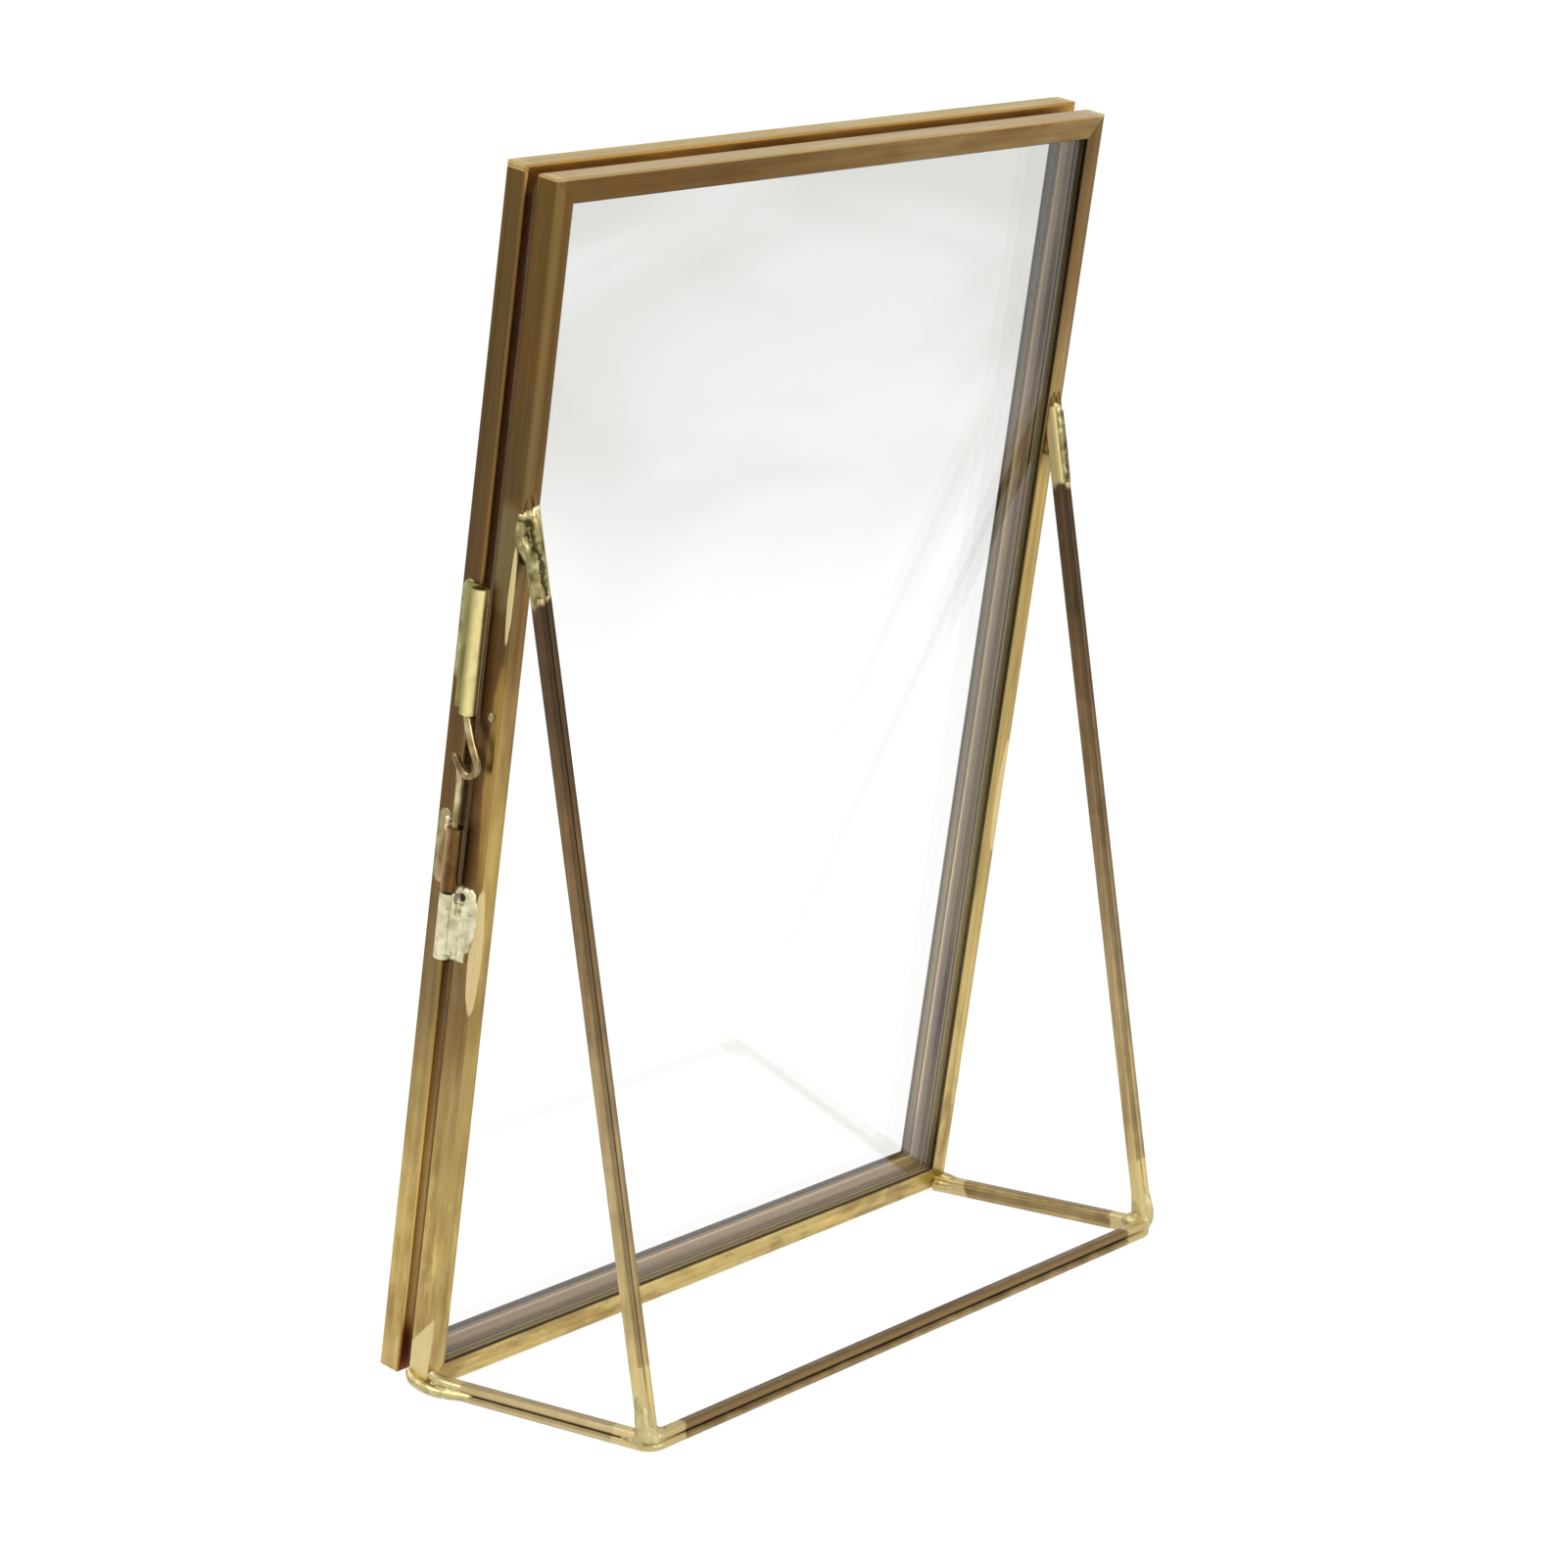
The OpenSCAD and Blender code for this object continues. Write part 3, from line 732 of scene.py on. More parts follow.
# The side bars' colours are a lighter copy and the rear bar's a darker copy of one set: painted light
# and shade for the way each bar faces.
LIT_SIDE_BAR_COLOURS = ((0.0, "8a7045"), (0.35, "a28a5d"), (0.65, "b29b6b"), (1.0, "c6b181"))
SHADED_REAR_BAR_COLOURS = ((0.0, "705734"), (0.35, "8e754c"), (0.65, "a38b5e"), (1.0, "b8a172"))
# Up a strut, as a share of its height.
STRUT_COLOURS = (
    (0.0, "ccb47a"),
    (0.12, "c2aa75"),
    (0.3, "b09a70"),
    (0.5, "8a7352"),
    (0.65, "7e6546"),
    (0.78, "5c4a35"),
    (0.97, "503f2e"),
)
# Above the solder a strut's cut end is as brown as the leaf that it lies on.
CUT_END = {1: 119.2, 2: 119.6}
# The rear bar's upper ridge is browner than its lower one.
UPPER_HALF = {1: 0.0, 2: 0.3}
# The bolt side's bar is paler than the hinge side's.
BOLT_SIDE = {1: -1.0, 2: 1.0, 4: 0.55}
print(len(STRUT_COLOURS), "colours up a strut")

# %% The strip brass
STREAK_STRETCH = {"X": (0.08, 1.2, 1.2), "Y": (1.2, 0.08, 1.2), "Z": (1.2, 1.2, 0.04)}


def strip_brass(name, along, colours):
    """Mottled folded strip that runs along X, Y or Z, with its seam along the middle."""
    material, tree = new_material(name)
    own = own_coordinates(tree)
    apart = add(tree, "SeparateXYZ", None, {0: own})
    across, behind, up = (apart.outputs[axis] for axis in "XYZ")
    side_x = add(tree, "Math", UNSIGNED, {0: across})
    either_side = add(tree, "CombineXYZ", None, {0: side_x, 1: behind, 2: up})
    # Streaks 1 mm across and 14 to 28 mm long, and mottling about 4 mm across.
    lines = add(tree, "Mapping", None, {"Vector": own, "Scale": STREAK_STRETCH[along]})
    streaks = add(tree, "TexNoise", None, {"Vector": lines, "Scale": 0.9, "Detail": 4.0})
    mottle = {"Vector": own, "Scale": 0.25, "Detail": 4.0, "Roughness": 0.55}
    mottle = add(tree, "TexNoise", None, mottle)
    both = add(tree, "Math", TIMES_PLUS, {0: streaks, 1: 0.9, 2: mottle})
    place = add(tree, "MapRange", None, {"Value": both, 1: 0.65, 2: 1.25})
    if along == "Z":
        # A strut is dark at its top and golden at its foot.
        share = add(tree, "Math", OVER, {0: up, 1: STRUT_HEIGHT})
        colour = add(tree, "ValToRGB", None, {0: share}, colours)
        tone = add(tree, "MapRange", None, {"Value": place, 3: 0.72, 4: 1.28})
        colour = add(tree, "Mix", TINT, {0: 1.0, 6: colour, 7: tone})
        off_seam = add(tree, "Math", MINUS, {0: side_x, 1: STAND_X})
    else:
        colour = add(tree, "ValToRGB", None, {0: place}, colours)
        off_seam = add(tree, "Math", MINUS, {0: up, 1: STRIP_HEIGHT / 2})
    if along == "X":
        upper = add(tree, "MapRange", SMOOTH, {"Value": off_seam, **UPPER_HALF})
        colour = add(tree, "Mix", MIX_COLOUR, {0: upper, 6: colour, 7: linear("8a7048")})
    elif along == "Y":
        bolt_side_paler = add(tree, "MapRange", None, {"Value": across, **BOLT_SIDE})
        colour = add(tree, "Mix", MIX_COLOUR, {0: bolt_side_paler, 6: colour, 7: linear("d8c494")})

    # Painted light and shade across the seam: highlights along the ridges, shade beside them.
    off_seam = add(tree, "Math", UNSIGNED, {0: off_seam})
    off_seam = add(tree, "Math", OVER, {0: off_seam, 1: STRIP_HEIGHT / 2})
    ridge = add(tree, "ValToRGB", None, {0: off_seam}, STRUT_RIDGE_LIGHT if along == "Z" else FLOOR_RIDGE_LIGHT)
    colour = add(tree, "Mix", TINT, {0: 1.0, 6: colour, 7: ridge})
    wetted = solder_tint(tree, either_side, STAND_JOINTS)
    wetted = add(tree, "Math", TIMES, {0: wetted, 1: 0.7})
    colour = add(tree, "Mix", MIX_COLOUR, {0: wetted, 6: colour, 7: linear("d3c087")})
    if along == "Z":
        cut_end = add(tree, "MapRange", SMOOTH, {"Value": up, **CUT_END})
        colour = add(tree, "Mix", MIX_COLOUR, {0: cut_end, 6: colour, 7: linear("6a5230")})
    metal_skin(tree, colour, (mottle, 0.32, 0.48), (both, 0.3, 0.06))
    return material


side_bar_brass = strip_brass("mottled_strip_brass_deep", "Y", LIT_SIDE_BAR_COLOURS)
rear_bar_brass = strip_brass("mottled_strip_brass_wide", "X", SHADED_REAR_BAR_COLOURS)
strut_brass = strip_brass("mottled_strip_brass_tall", "Z", STRUT_COLOURS)
put_on(side_bar_brass, "base_hinge_side_bar", "base_latch_side_bar")
put_on(rear_bar_brass, "base_rear_bar")
put_on(strut_brass, "strut_hinge_side", "strut_latch_side")
print("strip brass on 5 bars")

# %% [markdown]
# ## Rolled tubes and wire
#
# The guides, the keeper and the hinge knuckles are rolled from thin strip. The long guide and
# the keeper were cleaned with flux and are the brightest brass on the frame, pale yellow with a
# green-grey cast. The short knuckle was heated longer and went brown, and the wire is greyer.
# One function makes all three, with its colours and the painted shade of a tube's two flanks given.

# %% The tube brass
# From a tube's front flank to its rear one, where painted shade tones them apart.
FLANK_SHADE_SPAN = {1: GROOVE - 0.5, 2: GROOVE + 0.6}


def rolled_brass(name, colours, front_flank_shade="ffffff", rear_flank_shade="ffffff"):
    """Rolled strip or drawn wire, streaked along its length, with painted shade toning its flanks
    apart.
    """
    material, tree = new_material(name)
    leaf = leaf_coordinates(tree)
    # Streaks 0.8 mm across and 20 mm long, and stains of flux 3 mm across.
    lines = add(tree, "Mapping", None, {"Vector": leaf, "Scale": (1.6, 1.6, 0.06)})
    streaks = add(tree, "TexNoise", None, {"Vector": lines, "Scale": 0.8, "Detail": 3.0})
    flux = add(tree, "TexNoise", None, {"Vector": leaf, "Scale": 0.35, "Detail": 3.0})
    both = add(tree, "Math", TIMES_PLUS, {0: streaks, 1: 0.8, 2: flux})
    place = add(tree, "MapRange", None, {"Value": both, 1: 0.65, 2: 1.15})
    colour = add(tree, "ValToRGB", None, {0: place}, colours)
    apart = add(tree, "SeparateXYZ", None, {0: leaf})
    # One flank is toned darker than the other as painted shade.
    to_rear = add(tree, "MapRange", SMOOTH, {"Value": apart.outputs["Y"], **FLANK_SHADE_SPAN})
    flank = add(tree, "Mix", MIX_COLOUR, {0: to_rear, 6: linear(front_flank_shade), 7: linear(rear_flank_shade)})
    colour = add(tree, "Mix", TINT, {0: 1.0, 6: colour, 7: flank})
    metal_skin(tree, colour, (flux, 0.24, 0.4), (both, 0.25, 0.04))
    return material


bright_rolled = rolled_brass(
    "bright_rolled_brass",
    ((0.0, "b0a570"), (0.35, "cbbd80"), (0.65, "ddcf8e"), (1.0, "ebdf9f")),
    front_flank_shade="a2a58c",
)
browned_rolled = rolled_brass(
    "browned_rolled_brass",
    ((0.0, "7d6242"), (0.4, "9a7c54"), (0.7, "ac9064"), (1.0, "c2aa80")),
    rear_flank_shade="b0a28c",
)
drawn_wire = rolled_brass(
    "drawn_brass_wire", ((0.0, "6a5838"), (0.4, "8a7852"), (0.7, "ab9a70"), (1.0, "d6c99a"))
)
for hinge in ("lower_hinge", "upper_hinge"):
    put_on(browned_rolled, f"{hinge}_rear_knuckle", f"{hinge}_front_knuckles")
    put_on(drawn_wire, f"{hinge}_pin")
put_on(bright_rolled, "bolt_guide_tube")
put_on(browned_rolled, "bolt_guide_knuckle")
print("tube brass on 8 nodes")

# %% [markdown]
# ## Solder
#
# Tin solder flows bright and sets with a soft, slightly crystalline skin, and on brass it picks
# up a yellow cast. It is paler than any brass here, and pitted where flux boiled out. On the
# strut tops a crevice runs along the strut's outer corner, painted dark as shade, and the cap
# above it has a painted highlight. A wandering line in the material draws the crevice, because
# noise alone would scatter it, and the lips beside it are modelled later.

# %% The solder
# The crevice's middle moves out by so much for each millimetre up, and noise makes it jagged.
CREVICE_LEAN = 0.15
CREVICE_X = 36.9
JAGGED = {1: 0.3, 2: 0.7, 3: -0.5, 4: 0.5}
CREVICE_EDGE = {1: 0.5, 2: 0.2, 4: 0.9}
# Up the part in millimetres: where the crevice starts, where it ends, and the cap's painted highlight.
CREVICE_FOOT = {1: 107.8, 2: 109.0}
CREVICE_HEAD = {1: 118.7, 2: 118.2}
CAP_HIGHLIGHT_FROM = {1: 118.6, 2: 119.1, 4: 0.75}


def crevice_shade_and_cap_highlight(tree, own, colour):
    """A crevice down a strut's outer corner painted dark as shade, and a painted highlight on the cap
    above it.
    """
    apart = add(tree, "SeparateXYZ", None, {0: own})
    up = apart.outputs["Z"]
    side_x = add(tree, "Math", UNSIGNED, {0: apart.outputs["X"]})
    middle = add(tree, "Math", TIMES_PLUS, {0: up, 1: CREVICE_LEAN, 2: CREVICE_X})
    off = add(tree, "Math", MINUS, {0: side_x, 1: middle})
    jagged = add(tree, "TexNoise", None, {"Vector": own, "Scale": 0.9, "Detail": 3.0})
    jagged = add(tree, "MapRange", None, {"Value": jagged, **JAGGED})
    off = add(tree, "Math", PLUS, {0: off, 1: jagged})
    off = add(tree, "Math", UNSIGNED, {0: off})
    # The crevice is painted dark as shade.
    dark = add(tree, "MapRange", SMOOTH, {"Value": off, **CREVICE_EDGE})
    for end in (CREVICE_FOOT, CREVICE_HEAD):
        inside = add(tree, "MapRange", SMOOTH, {"Value": up, **end})
        dark = add(tree, "Math", TIMES, {0: dark, 1: inside})
    colour = add(tree, "Mix", MIX_COLOUR, {0: dark, 6: colour, 7: linear("2f2612")})
    # The cap gets a painted highlight.
    cap = add(tree, "MapRange", SMOOTH, {"Value": up, **CAP_HIGHLIGHT_FROM})
    return add(tree, "Mix", MIX_COLOUR, {0: cap, 6: colour, 7: linear("e8dda8")})


def set_solder(name, colours, creviced=False):
    """Solder as it set: soft clouds of tone, a few pits, and a satin skin."""
    material, tree = new_material(name)
    own = own_coordinates(tree)
    # Clouds 1.4 mm across, and pits about half as large.
    clouds = add(tree, "TexNoise", None, {"Vector": own, "Scale": 0.7, "Detail": 3.0})
    pits = add(tree, "TexNoise", None, {"Vector": own, "Scale": 1.5, "Detail": 2.0})
    colour = add(tree, "ValToRGB", None, {0: clouds}, colours)
    pitted = add(tree, "MapRange", SMOOTH, {"Value": pits, 1: 0.35, 2: 0.28, 4: 0.6})
    colour = add(tree, "Mix", MIX_COLOUR, {0: pitted, 6: colour, 7: linear("6b5a34")})
    if creviced:
        colour = crevice_shade_and_cap_highlight(tree, own, colour)
    metal_skin(tree, colour, (clouds, 0.54, 0.4), (clouds, 0.4, 0.15))
    return material


stand_solder = set_solder(
    "yellowed_tin_solder", ((0.3, "978a5c"), (0.45, "b2a675"), (0.6, "c4b886"), (0.75, "dacd9d"))
)
pale_solder = set_solder(
    "pale_tin_solder", ((0.3, "b5ad8c"), (0.45, "cdc6a4"), (0.6, "dcd6b4"), (0.75, "ece7c6"))
)
dull_solder = set_solder(
    "greenish_tin_solder", ((0.3, "7b7350"), (0.45, "928a62"), (0.6, "a29a70"), (0.75, "bab288"))
)
creviced_solder = set_solder(
    "flux_stained_solder_painted_crevice",
    ((0.3, "5f5632"), (0.45, "857b50"), (0.6, "9c9266"), (0.75, "c8bf90")),
    creviced=True,
)
put_on(pale_solder, "bolt_keeper")
print("4 solders ready, and one of them on the keeper's tube")

# %% [markdown]
# ## Glass
#
# The panes are clear float glass, polished flat by floating on molten tin. Glass like that
# bends what is seen through it and shows hardly any colour of its own, so what makes it visible
# is a faint grey haze painted into its upper half in place of the faint reflections on it. Lamp
# light is let straight through, because a shadow of a clear pane would be too dark.

# %% The clear pane
# Up the slope, where the haze painted for the reflections starts and where it is full, and its patches,
# 50 mm across.
HAZY_FROM = {1: 78.0, 2: 142.0}
HAZE_DRIFT = {"Rotation": (0, 0.7, 0), "Scale": (1.0, 1.0, 2.2)}
HAZE_PATCHES = {"Scale": 0.02, "Detail": 2.0, "Distortion": 0.6}
# The front leaf sits 0.6 mm higher than the rear one, so both panes end about halfway.
PANES_TOP = LEAF_HEIGHT + 0.3

glass, tree = new_material("clear_float_glass")
at = leaf_points(tree, PANES_TOP)
drift = add(tree, "Mapping", None, {"Vector": at.leaf, **HAZE_DRIFT})
# A grey haze painted in place of faint reflections on the glass.
reflection_haze = add(tree, "TexNoise", None, {"Vector": drift, **HAZE_PATCHES})
high_up = add(tree, "MapRange", SMOOTH, {"Value": at.up, **HAZY_FROM})
cloud = add(tree, "MapRange", SMOOTH, {"Value": reflection_haze, 1: 0.35, 2: 0.65, 3: 0.55})
amount = add(tree, "Math", TIMES, {0: high_up, 1: cloud})
pane = {
    "Base Color": add(tree, "Mix", MIX_COLOUR, {0: amount, 6: linear("ffffff"), 7: linear("eaeae8")}),
    "Roughness": 0.0,
    "IOR": 1.5,
    "Specular IOR Level": 0.15,
    "Transmission Weight": 1.0,
}
pane = add(tree, "BsdfPrincipled", None, pane)
rays = add(tree, "LightPath").outputs
let_through = add(tree, "Math", LARGER, {0: rays["Is Shadow Ray"], 1: rays["Is Diffuse Ray"]})
clear = add(tree, "BsdfTransparent", None, {"Color": linear("fafafa")})
clear_pane = add(tree, "MixShader", None, {0: let_through, 1: pane, 2: clear})
print("a clear pane of IOR", pane.inputs["IOR"].default_value)

# %% [markdown]
# ## The glass in its channel
#
# Each pane's edge sits in the channel, where only brown brass and putty can be seen through it.
# That edge is made opaque here, in pale and dark brown lines along the bar that paint the
# highlights and shade of the folded lips as they look from behind. It is palest low on the side
# bars and darkest near the top.

# %% The glass in its channel
# In from the outline: where the channel ends, and the stretch that its lines are laid over.
CHANNEL_END = {1: 3.28, 2: 3.24}
LIPS = {1: 0.8, 2: 3.3}
# Pale lines paint highlights on the lips, and dark lines the shade between them.
LIP_FOLD_LIGHT = (
    (0.0, "a08f64"),
    (0.3, "ddca97"),
    (0.5, "98865a"),
    (0.68, "eddda8"),
    (0.85, "9c875c"),
    (1.0, "dfca97"),
)
# Up the slope, as a share of the leaf's height, and how bright the lips are.
LIP_SHADES = (
    (0.04, "d8d8d8"),
    (0.08, "ffffff"),
    (0.3, "f8f8f8"),
    (0.45, "d0d0d0"),
    (0.75, "cccccc"),
    (0.93, "949494"),
)
in_channel = add(tree, "MapRange", None, {"Value": at.to_outline, **CHANNEL_END})
lips = add(tree, "MapRange", None, {"Value": at.to_outline, **LIPS})
brown = add(tree, "ValToRGB", None, {0: lips}, LIP_FOLD_LIGHT)
shade = add(tree, "ValToRGB", None, {0: at.height}, LIP_SHADES)
brown = add(tree, "Mix", TINT, {0: 1.0, 6: brown, 7: shade})
putty = {"Base Color": brown, "Roughness": 0.6, "Specular IOR Level": 0.05}
putty = add(tree, "BsdfPrincipled", None, putty)
edged = add(tree, "MixShader", None, {0: in_channel, 1: clear_pane, 2: putty})
add(tree, "OutputMaterial", None, {"Surface": edged})
put_on(glass, "rear_glass", "front_glass")
print("glass in 2 panes")

# %% [markdown]
# ## How solder is modelled
#
# Solder runs, wets what it touches and sets round. A wire laid along each run and a ball where
# a drop sits give the masses. A voxel remesh then makes one skin of them, as the molten metal
# would, and a smooth modifier draws the skin tight, so that corners become fillets.

# %% Runs, balls and one skin


def run(points, radii):
    """A round run through points, with a radius at each, made from a curve."""
    bpy.ops.object.select_all(action="DESELECT")
    bpy.ops.curve.primitive_nurbs_path_add()
    curve = bpy.context.object
    curve.data.splines.clear()
    spline = curve.data.splines.new("NURBS")
    spline.points.add(len(points) - 1)
    for point, place, radius in zip(spline.points, points, radii):
        point.co = (*place, 1)
        point.radius = radius * MM
    spline.order_u = 3
    spline.use_endpoint_u = True
    spline.resolution_u = 10
    curve.data.bevel_depth = 1.0
    curve.data.bevel_resolution = 4
    curve.data.use_fill_caps = True
    bpy.ops.object.convert(target="MESH")
    return bpy.context.object


def ball(place, radii, turn=(0, 0, 0)):
    """A ball or an egg, with its three radii in millimetres."""
    bpy.ops.object.select_all(action="DESELECT")
    bpy.ops.mesh.primitive_ico_sphere_add(
        subdivisions=3, radius=1, location=place, rotation=turn, scale=[r * MM for r in radii]
    )
    return bpy.context.object


def run_through(rows, place):
    """A run through rows of three lengths and a radius, with place to put the lengths."""
    return run([place(*row[:3]) for row in rows], [row[3] for row in rows])


def flow(name, lumps, body, nodes, finish, voxel=0.13, smooth=8):
    """Joins lumps into one skin of solder that rides on a body and stands for nodes."""
    bpy.ops.object.select_all(action="DESELECT")
    for lump in lumps:
        lump.select_set(True)
    bpy.context.view_layer.objects.active = lumps[0]
    if len(lumps) > 1:
        bpy.ops.object.join()
    piece = bpy.context.object
    piece.name = name
    piece.data.name = name
    bpy.ops.object.transform_apply(location=True, rotation=True, scale=True)
    remesh = piece.modifiers.new("one_skin", "REMESH")
    remesh.mode = "VOXEL"
    remesh.voxel_size = voxel * MM
    bpy.ops.object.modifier_apply(modifier=remesh.name)
    drawn = piece.modifiers.new("drawn_tight", "SMOOTH")
    drawn.factor = 0.5
    drawn.iterations = smooth
    bpy.ops.object.modifier_apply(modifier=drawn.name)
    bpy.ops.object.shade_smooth()
    piece.data.materials.clear()
    piece.data.materials.append(finish)
    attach(piece, body)
    if nodes:
        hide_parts(*nodes)
    print(name, len(piece.data.polygons), "faces")
    return piece


print("solder tools ready")

# %% [markdown]
# ## Solder at the strut tops
#
# Each strut's open end was filled with solder against the rear leaf. One lip of it runs down the
# strut's outer flank and laps onto the leaf's edge, another runs down its rear face. A crevice
# stays between the lips, painted dark as shade, a smooth cap lies on top, and a web fills the
# crotch. The same rows of places make both struts' solder, with the side changed.

# %% Strut tops
REAR = "rear_leaf_and_stand"
# Outwards from the strut's middle, down it and out behind it, and the radius there.
FLANK_LIP = (
    (1.15, -0.6, 0.0, 0.6),
    (1.4, 0.7, -0.4, 0.72),
    (1.5, 2.2, -0.65, 0.72),
    (1.3, 3.6, -0.5, 0.82),
    (0.95, 5.2, -0.05, 0.68),
    (0.95, 7.2, 0.1, 0.6),
    (0.85, 9.2, 0.1, 0.66),
    (0.85, 11.2, 0.0, 0.42),
)
REAR_LIP = (
    (0.25, -0.8, 0.45, 0.58),
    (0.1, 0.6, 0.6, 0.78),
    (-0.05, 2.2, 0.66, 0.74),
    (0.05, 4.0, 0.64, 0.82),
    (-0.1, 6.0, 0.66, 0.72),
    (0.1, 8.0, 0.6, 0.78),
    (-0.05, 9.8, 0.55, 0.62),
)
CREVICE = (
    (0.8, -0.3, 0.55, 0.52),
    (0.75, 3.0, 0.62, 0.52),
    (0.72, 6.0, 0.65, 0.52),
    (0.7, 10.0, 0.6, 0.5),
)
CAP = ((1.1, -0.5, 0.1, 0.42), (0.1, -0.95, 0.7, 0.5), (-0.85, -1.2, 0.85, 0.4))
FILLING = ((0.0, -0.8, -0.45, 1.0), (0.0, 3.0, -0.4, 1.12), (0.0, 8.5, -0.2, 1.02))
# How far down the strut the eggs of the web lie.
WEB = (0.5, 2.0, 3.4, 4.6)
for side, label in ((1, "latch"), (-1, "hinge")):
    lumps = [
        run_through(path, lambda aside, down, out: strut_place(side * (STAND_X + aside), down, out))
        for path in (FLANK_LIP, REAR_LIP, CREVICE, CAP, FILLING)
    ]
    for down in WEB:
        # The crotch opens as the strut leans away from the leaf.
        gap = down * math.tan(LEAN + STRUT_TILT)
        middle = strut_place(side * STAND_X, down, -0.9 - gap * 0.5)
        lumps.append(ball(middle, (0.85, 0.4 + gap * 0.5, 1.3), (-STRUT_TILT, 0, 0)))
    flow(
        f"strut_top_solder_{label}",
        lumps,
        REAR,
        ("strut_top_solder",) if side > 0 else (),
        creviced_solder,
        smooth=4,
    )

# %% [markdown]
# ## Solder at the rear corners
#
# A strut stands on the bend of the floor bars. The solder there climbs the strut, runs a little
# way along both bars and fills the inside corners with smooth fillets. On the outside it flowed
# down the strut's flank and round the bend in one sweep.

# %% Rear corners
# Where a strut's foot stands, and how far it leans forward for each millimetre up.
FOOT_Y = 37.8
FOOT_LEAN = 0.11
# The runs along the bars: how high they lie, where the rear bar's lies, and their radii.
RUN_UP = 1.4
BEND_Y = 38.15
BEND_RADII = (1.3, 1.15, 0.85)
# Down the strut's outer flank and round onto the rear bar, in one sweep: outwards, behind, up
# and the radius there.
SWEEP = (
    (0.3, 37.3, 9.4, 0.6),
    (0.55, 37.6, 6.6, 0.9),
    (0.7, 38.0, 4.0, 1.15),
    (0.5, 38.2, 2.2, 1.2),
    (-1.2, 38.3, 1.55, 1.1),
    (-4.0, 38.35, 1.5, 0.85),
)
for side, label in ((1, "latch"), (-1, "hinge")):
    x = side * STAND_X
    lumps = [
        run(
            [own_place(x, FOOT_Y - FOOT_LEAN * (z - STRIP_HEIGHT), z) for z in (1.5, 3.4, 5.6, 7.8)],
            (1.45, 1.42, 1.2, 0.95),
        ),
        run([own_place(x, y, RUN_UP) for y in (37.9, 36.0, 34.0)], BEND_RADII),
        run([own_place(x - side * along, BEND_Y, RUN_UP) for along in (0.3, 2.4, 5.0)], BEND_RADII),
        ball(own_place(x - side * 1.0, 37.0, 2.1), (1.7, 1.7, 1.2)),
        run_through(SWEEP, lambda outwards, y, z: own_place(x + side * outwards, y, z)),
    ]
    flow(
        f"rear_corner_solder_{label}",
        lumps,
        REAR,
        ("base_corner_solder",) if side > 0 else (),
        stand_solder,
        smooth=10,
    )

# %% [markdown]
# ## The curled front ends of the floor bars
#
# Where a side bar meets the leaf, the strip's two ridges were bent up and outwards round the
# leaf's lower corner and soldered over, so the corner can't be seen. The ridges are runs of
# their own, because the eye follows them, and three thicker runs fill what lies between.

# %% Front curls
# To the side, behind, up and the radius there, in the part's own millimetres.
UPPER_RIDGE = (
    (53.45, 7.6, 1.6, 0.48),
    (53.9, 5.2, 1.82, 0.62),
    (54.5, 3.1, 2.15, 0.66),
    (55.0, 1.9, 2.7, 0.7),
    (55.05, 1.2, 3.4, 0.66),
)
# The hinge side's upper ridge was cut shorter and runs out against the leaf's rear face.
HINGE_RIDGE = (
    (53.5, 7.6, 1.6, 0.48),
    (53.5, 5.2, 1.7, 0.56),
    (53.35, 3.2, 1.9, 0.66),
    (53.1, 1.3, 2.3, 0.6),
)
LOWER_RIDGE = (
    (53.7, 7.6, 0.8, 0.5),
    (54.5, 4.8, 0.82, 0.64),
    (55.2, 2.4, 0.95, 0.7),
    (55.45, 0.6, 1.25, 0.74),
    (55.45, -1.0, 1.6, 0.74),
    (55.2, -2.5, 2.1, 0.66),
    (54.95, -2.9, 3.1, 0.5),
)
CORE = ((53.9, 5.0, 1.3, 0.9), (54.0, 2.0, 1.5, 1.0), (54.1, 0.7, 1.9, 0.85))
LAP = ((54.6, 0.5, 1.7, 0.55), (53.4, 0.55, 1.35, 0.6), (51.9, 0.3, 1.25, 0.35))
FILLET = ((52.6, 0.4, 1.3, 0.7), (52.75, 2.2, 1.25, 0.75), (53.0, 4.6, 1.3, 0.5))
for side, label in ((1, "latch"), (-1, "hinge")):
    upper = UPPER_RIDGE if side > 0 else HINGE_RIDGE
    flow(
        f"front_curl_solder_{label}",
        [
            run_through(path, lambda x, y, z: own_place(side * x, y, z))
            for path in (upper, LOWER_RIDGE, CORE, LAP, FILLET)
        ],
        REAR,
        ("base_front_solder",) if side > 0 else (),
        stand_solder,
        voxel=0.11,
        smooth=7,
    )

# %% [markdown]
# ## The keeper's mass of solder
#
# The keeper's tube was fixed with one thick mass of pale solder, which fills the valley beside
# the tube and reaches out towards the rear leaf's rear edge. Rows of eggs of falling height give
# its slope. A bubble of flux burst near its top and left a crater, and a dark drop in it paints
# the shade at the crater's bottom. A boolean cuts the crater with a clean rim, which the
# smoothing of the skin would have closed.

# %% The keeper's mass
# The valley's two runs: how far to the side and behind they lie, their way up, and their radii.
VALLEY = (
    (56.3, -3.15, (61.7, 64.5, 67.5, 70.2), (0.42, 0.46, 0.46, 0.4)),
    (56.0, -2.6, (61.9, 64.5, 67.0), (0.45, 0.5, 0.42)),
)
# Each row of eggs: how far up the slope it lies, and how far behind it reaches.
ROWS = ((62.1, -2.3), (63.6, -1.6), (65.2, -1.1), (66.8, -0.95), (68.4, -1.05), (69.6, -1.4))
ROW_START = -3.3
EGG_LENGTH = 1.5
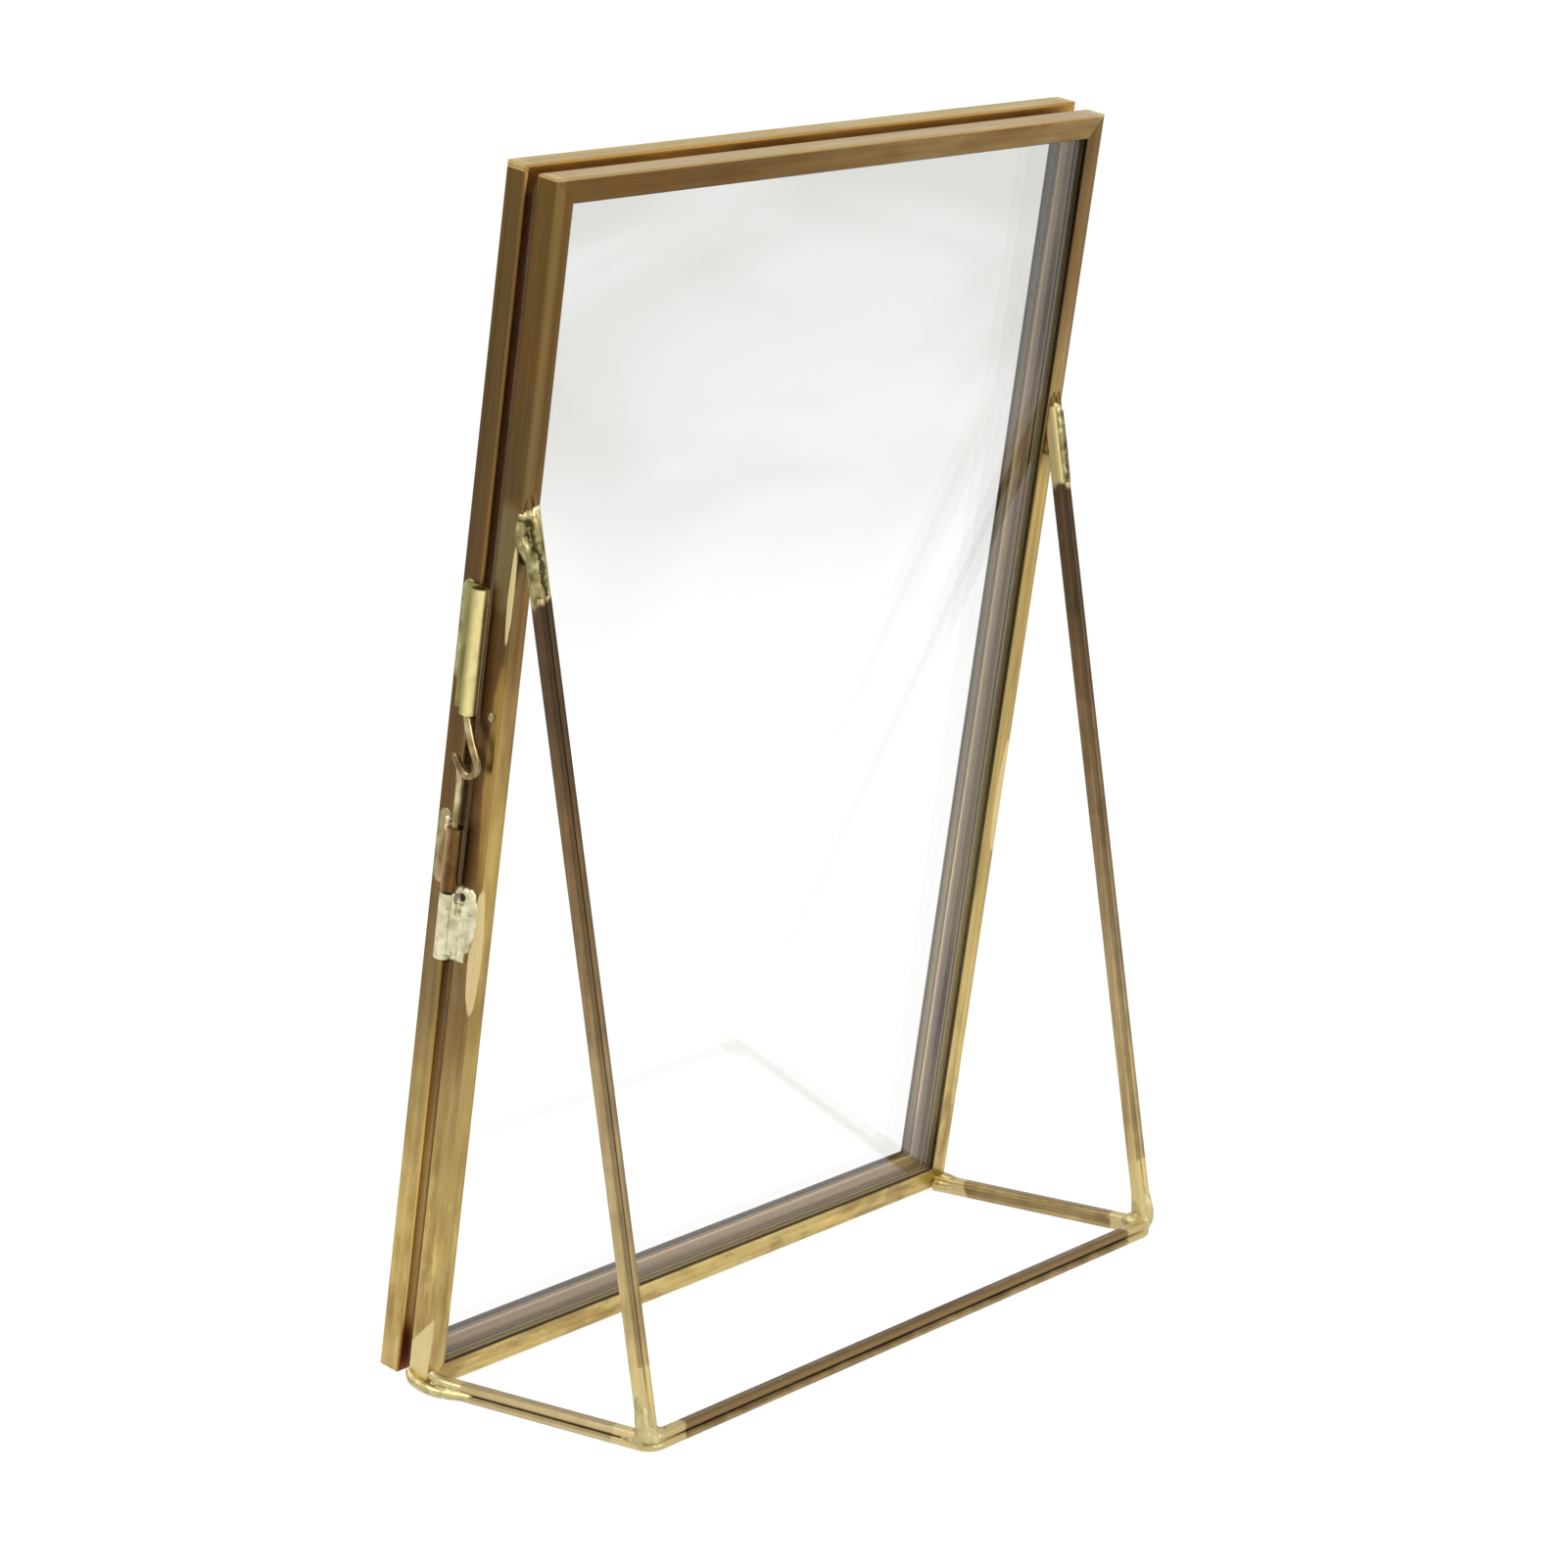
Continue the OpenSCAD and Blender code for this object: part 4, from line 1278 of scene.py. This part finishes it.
# Up the slope and behind, where the bubble burst.
CRATER = (69.5, -2.35)
lumps = [run([leaf_place(x, up, out) for up in ups], radii) for x, out, ups, radii in VALLEY]
for up, reach in ROWS:
    middle = 0.5 * (ROW_START + reach)
    for out, height, wide in ((ROW_START, 1.2, 0.95), (middle, 0.9, 1.0), (reach, 0.55, 1.0)):
        # No two eggs are quite alike.
        height += 0.06 * math.sin(3.1 * up + 2.0 * out)
        lumps.append(ball(leaf_place(HALF_WIDTH, up, out), (height, wide, EGG_LENGTH), (-LEAN, 0, 0)))
mass = flow("keeper_solder_puddle", lumps, REAR, ("keeper_solder",), pale_solder, voxel=0.12, smooth=16)
bubble = ball(leaf_place(HALF_WIDTH + 1.1, *CRATER), (1.0, 0.75, 0.9), (-LEAN, 0, 0))
burst = mass.modifiers.new("crater", "BOOLEAN")
burst.operation = "DIFFERENCE"
burst.object = bubble
bpy.ops.object.select_all(action="DESELECT")
bpy.context.view_layer.objects.active = mass
bpy.ops.object.modifier_apply(modifier=burst.name)
bpy.data.objects.remove(bubble)
# A dark drop at the crater's bottom paints the shade there.
crater_shade_material, tree = new_material("painted_crater_shade")
crater_dark = {"Base Color": linear("2c2212"), "Roughness": 0.6, "Specular IOR Level": 0.2}
crater_dark = add(tree, "BsdfPrincipled", None, crater_dark)
add(tree, "OutputMaterial", None, {"Surface": crater_dark})
flow(
    "crater_shade_drop",
    [ball(leaf_place(55.25, 69.6, -2.45), (0.42, 0.52, 0.6), (-LEAN, 0, 0))],
    REAR,
    (),
    crater_shade_material,
    voxel=0.08,
    smooth=2,
)

# %% [markdown]
# ## Solder over the tails
#
# Each knuckle and tube has a flat tail that was laid on the side of its leaf and soldered over.
# The solder spread into low, uneven puddles. A line of eggs makes each, and a wave that starts
# elsewhere for every puddle changes their height, width and place, so that no two look alike.

# %% Puddles on the leaves' sides
# Behind the rear face, the line that a puddle follows on each leaf, and how far to the side.
FRONT_LEAF_OUT, REAR_LEAF_OUT = -7.3, -1.75
PUDDLE_X = 54.95
EGG_STEP = 0.7
PUDDLE_WIDE, PUDDLE_EGG = 1.2, 1.4


def puddle(name, side, up, long, front, nodes, finish, height=0.3):
    """A low puddle on a leaf's side, from one height up the slope and so long."""
    leaf_out, body = (FRONT_LEAF_OUT, "front_leaf") if front else (REAR_LEAF_OUT, REAR)
    lumps = []
    steps = round(long / EGG_STEP)
    for i in range(steps):
        share = (i + 0.5) / steps
        wave = math.sin(5.3 * share + up)
        egg_up = up + EGG_STEP + (long - 2 * EGG_STEP) * share
        place = leaf_place(side * PUDDLE_X, egg_up, leaf_out + 0.15 * wave)
        radii = (height * (1 + 0.15 * wave), PUDDLE_WIDE + 0.1 * wave, PUDDLE_EGG)
        lumps.append(ball(place, radii, (-LEAN, 0, 0)))
    flow(name, lumps, body, nodes, finish, voxel=0.1, smooth=8)


puddle("guide_tube_solder_puddle", 1, 97.6, 12.8, True, ("guide_solder",), dull_solder, 0.4)
puddle("guide_knuckle_solder_puddle", 1, 70.4, 9.4, True, (), dull_solder, 0.34)
puddle("lower_hinge_solder_rear", -1, 24.2, 7.6, False, ("hinge_solder_rear",), dull_solder)
puddle("upper_hinge_solder_rear", -1, 131.2, 7.6, False, (), dull_solder)
for hinge, middle in (("lower", 28.0), ("upper", 135.0)):
    nodes = ("hinge_solder_front",) if hinge == "lower" else ()
    puddle(f"{hinge}_hinge_solder_front_top", -1, middle + 4.3, 3.9, True, nodes, dull_solder)
    puddle(f"{hinge}_hinge_solder_front_base", -1, middle - 8.2, 3.9, True, (), dull_solder)

# %% [markdown]
# ## Stray drops
#
# Solder spits. One drop stuck to the rear leaf's side under the long tube, and another one sits
# on top of the short knuckle, bright because nothing has rubbed it.

# %% Drops
flow(
    "stray_solder_drop",
    [ball(leaf_place(55.0, 94.2, -1.3), (0.45, 0.5, 0.75), (-LEAN, 0, 0))],
    REAR,
    (),
    dull_solder,
    voxel=0.08,
    smooth=2,
)
flow(
    "knuckle_solder_drop",
    [
        ball(leaf_place(55.4, 79.0, -6.3), (0.5, 0.5, 0.6)),
        ball(leaf_place(55.2, 78.0, -6.5), (0.45, 0.5, 0.9)),
    ],
    "front_leaf",
    (),
    pale_solder,
    voxel=0.08,
    smooth=3,
)

# %% [markdown]
# ## The bolt
#
# The bolt is one length of brass wire. It comes down out of the long tube, kinks away behind,
# is bent back in a small hand-made loop for the thumb, and goes on into the short knuckle. A
# curve with a round section follows the places of its bends, and becomes one smooth mesh.

# %% The bolt's wire
# How far to the side the tubes' middle lies, and how far up the slope the short knuckle does.
TUBE_X = 56.2
KNUCKLE_UP = 78.7
# The wire is a little thicker where it is bent away behind.
WIRE_RADIUS, BENT_RADIUS = 0.5, 0.56
# Up from the short knuckle, out to the side and behind the tubes' middle, in millimetres.
BOLT_ROUTE = (
    (29.325, 0, 0),
    (16.5, 0, 0),
    (14.9, 0, 0),
    (13.7, 0.2, 0.7),
    (12.3, 0.5, 1.6),
    (10.9, 0.6, 2.45),
    (9.7, 0.55, 3.05),
    (8.6, 0.5, 3.05),
    (7.85, 0.7, 2.5),
    (7.75, 0.9, 1.7),
    (8.4, 0.93, 0.8),
    (9.2, 0.93, 0.0),
    (9.75, 0.8, -0.55),
    (9.3, 0.4, -0.65),
    (8.2, 0.1, -0.2),
    (6.6, 0, 0),
    (4.5, 0, 0),
    (-7.9, 0, 0),
)
bolt = run(
    [leaf_place(TUBE_X + aside, KNUCKLE_UP + up, GROOVE + behind) for up, aside, behind in BOLT_ROUTE],
    [BENT_RADIUS if behind > 0.5 else WIRE_RADIUS for up, aside, behind in BOLT_ROUTE],
)
bolt.name = "latch_bolt_wire"
bpy.ops.object.transform_apply(location=True, rotation=True, scale=True)
bpy.ops.object.shade_smooth()
bolt.data.materials.clear()
bolt.data.materials.append(drawn_wire)
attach(bolt, "bolt")
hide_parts("latch_bolt")
print(bolt.name, len(bolt.data.polygons), "faces")
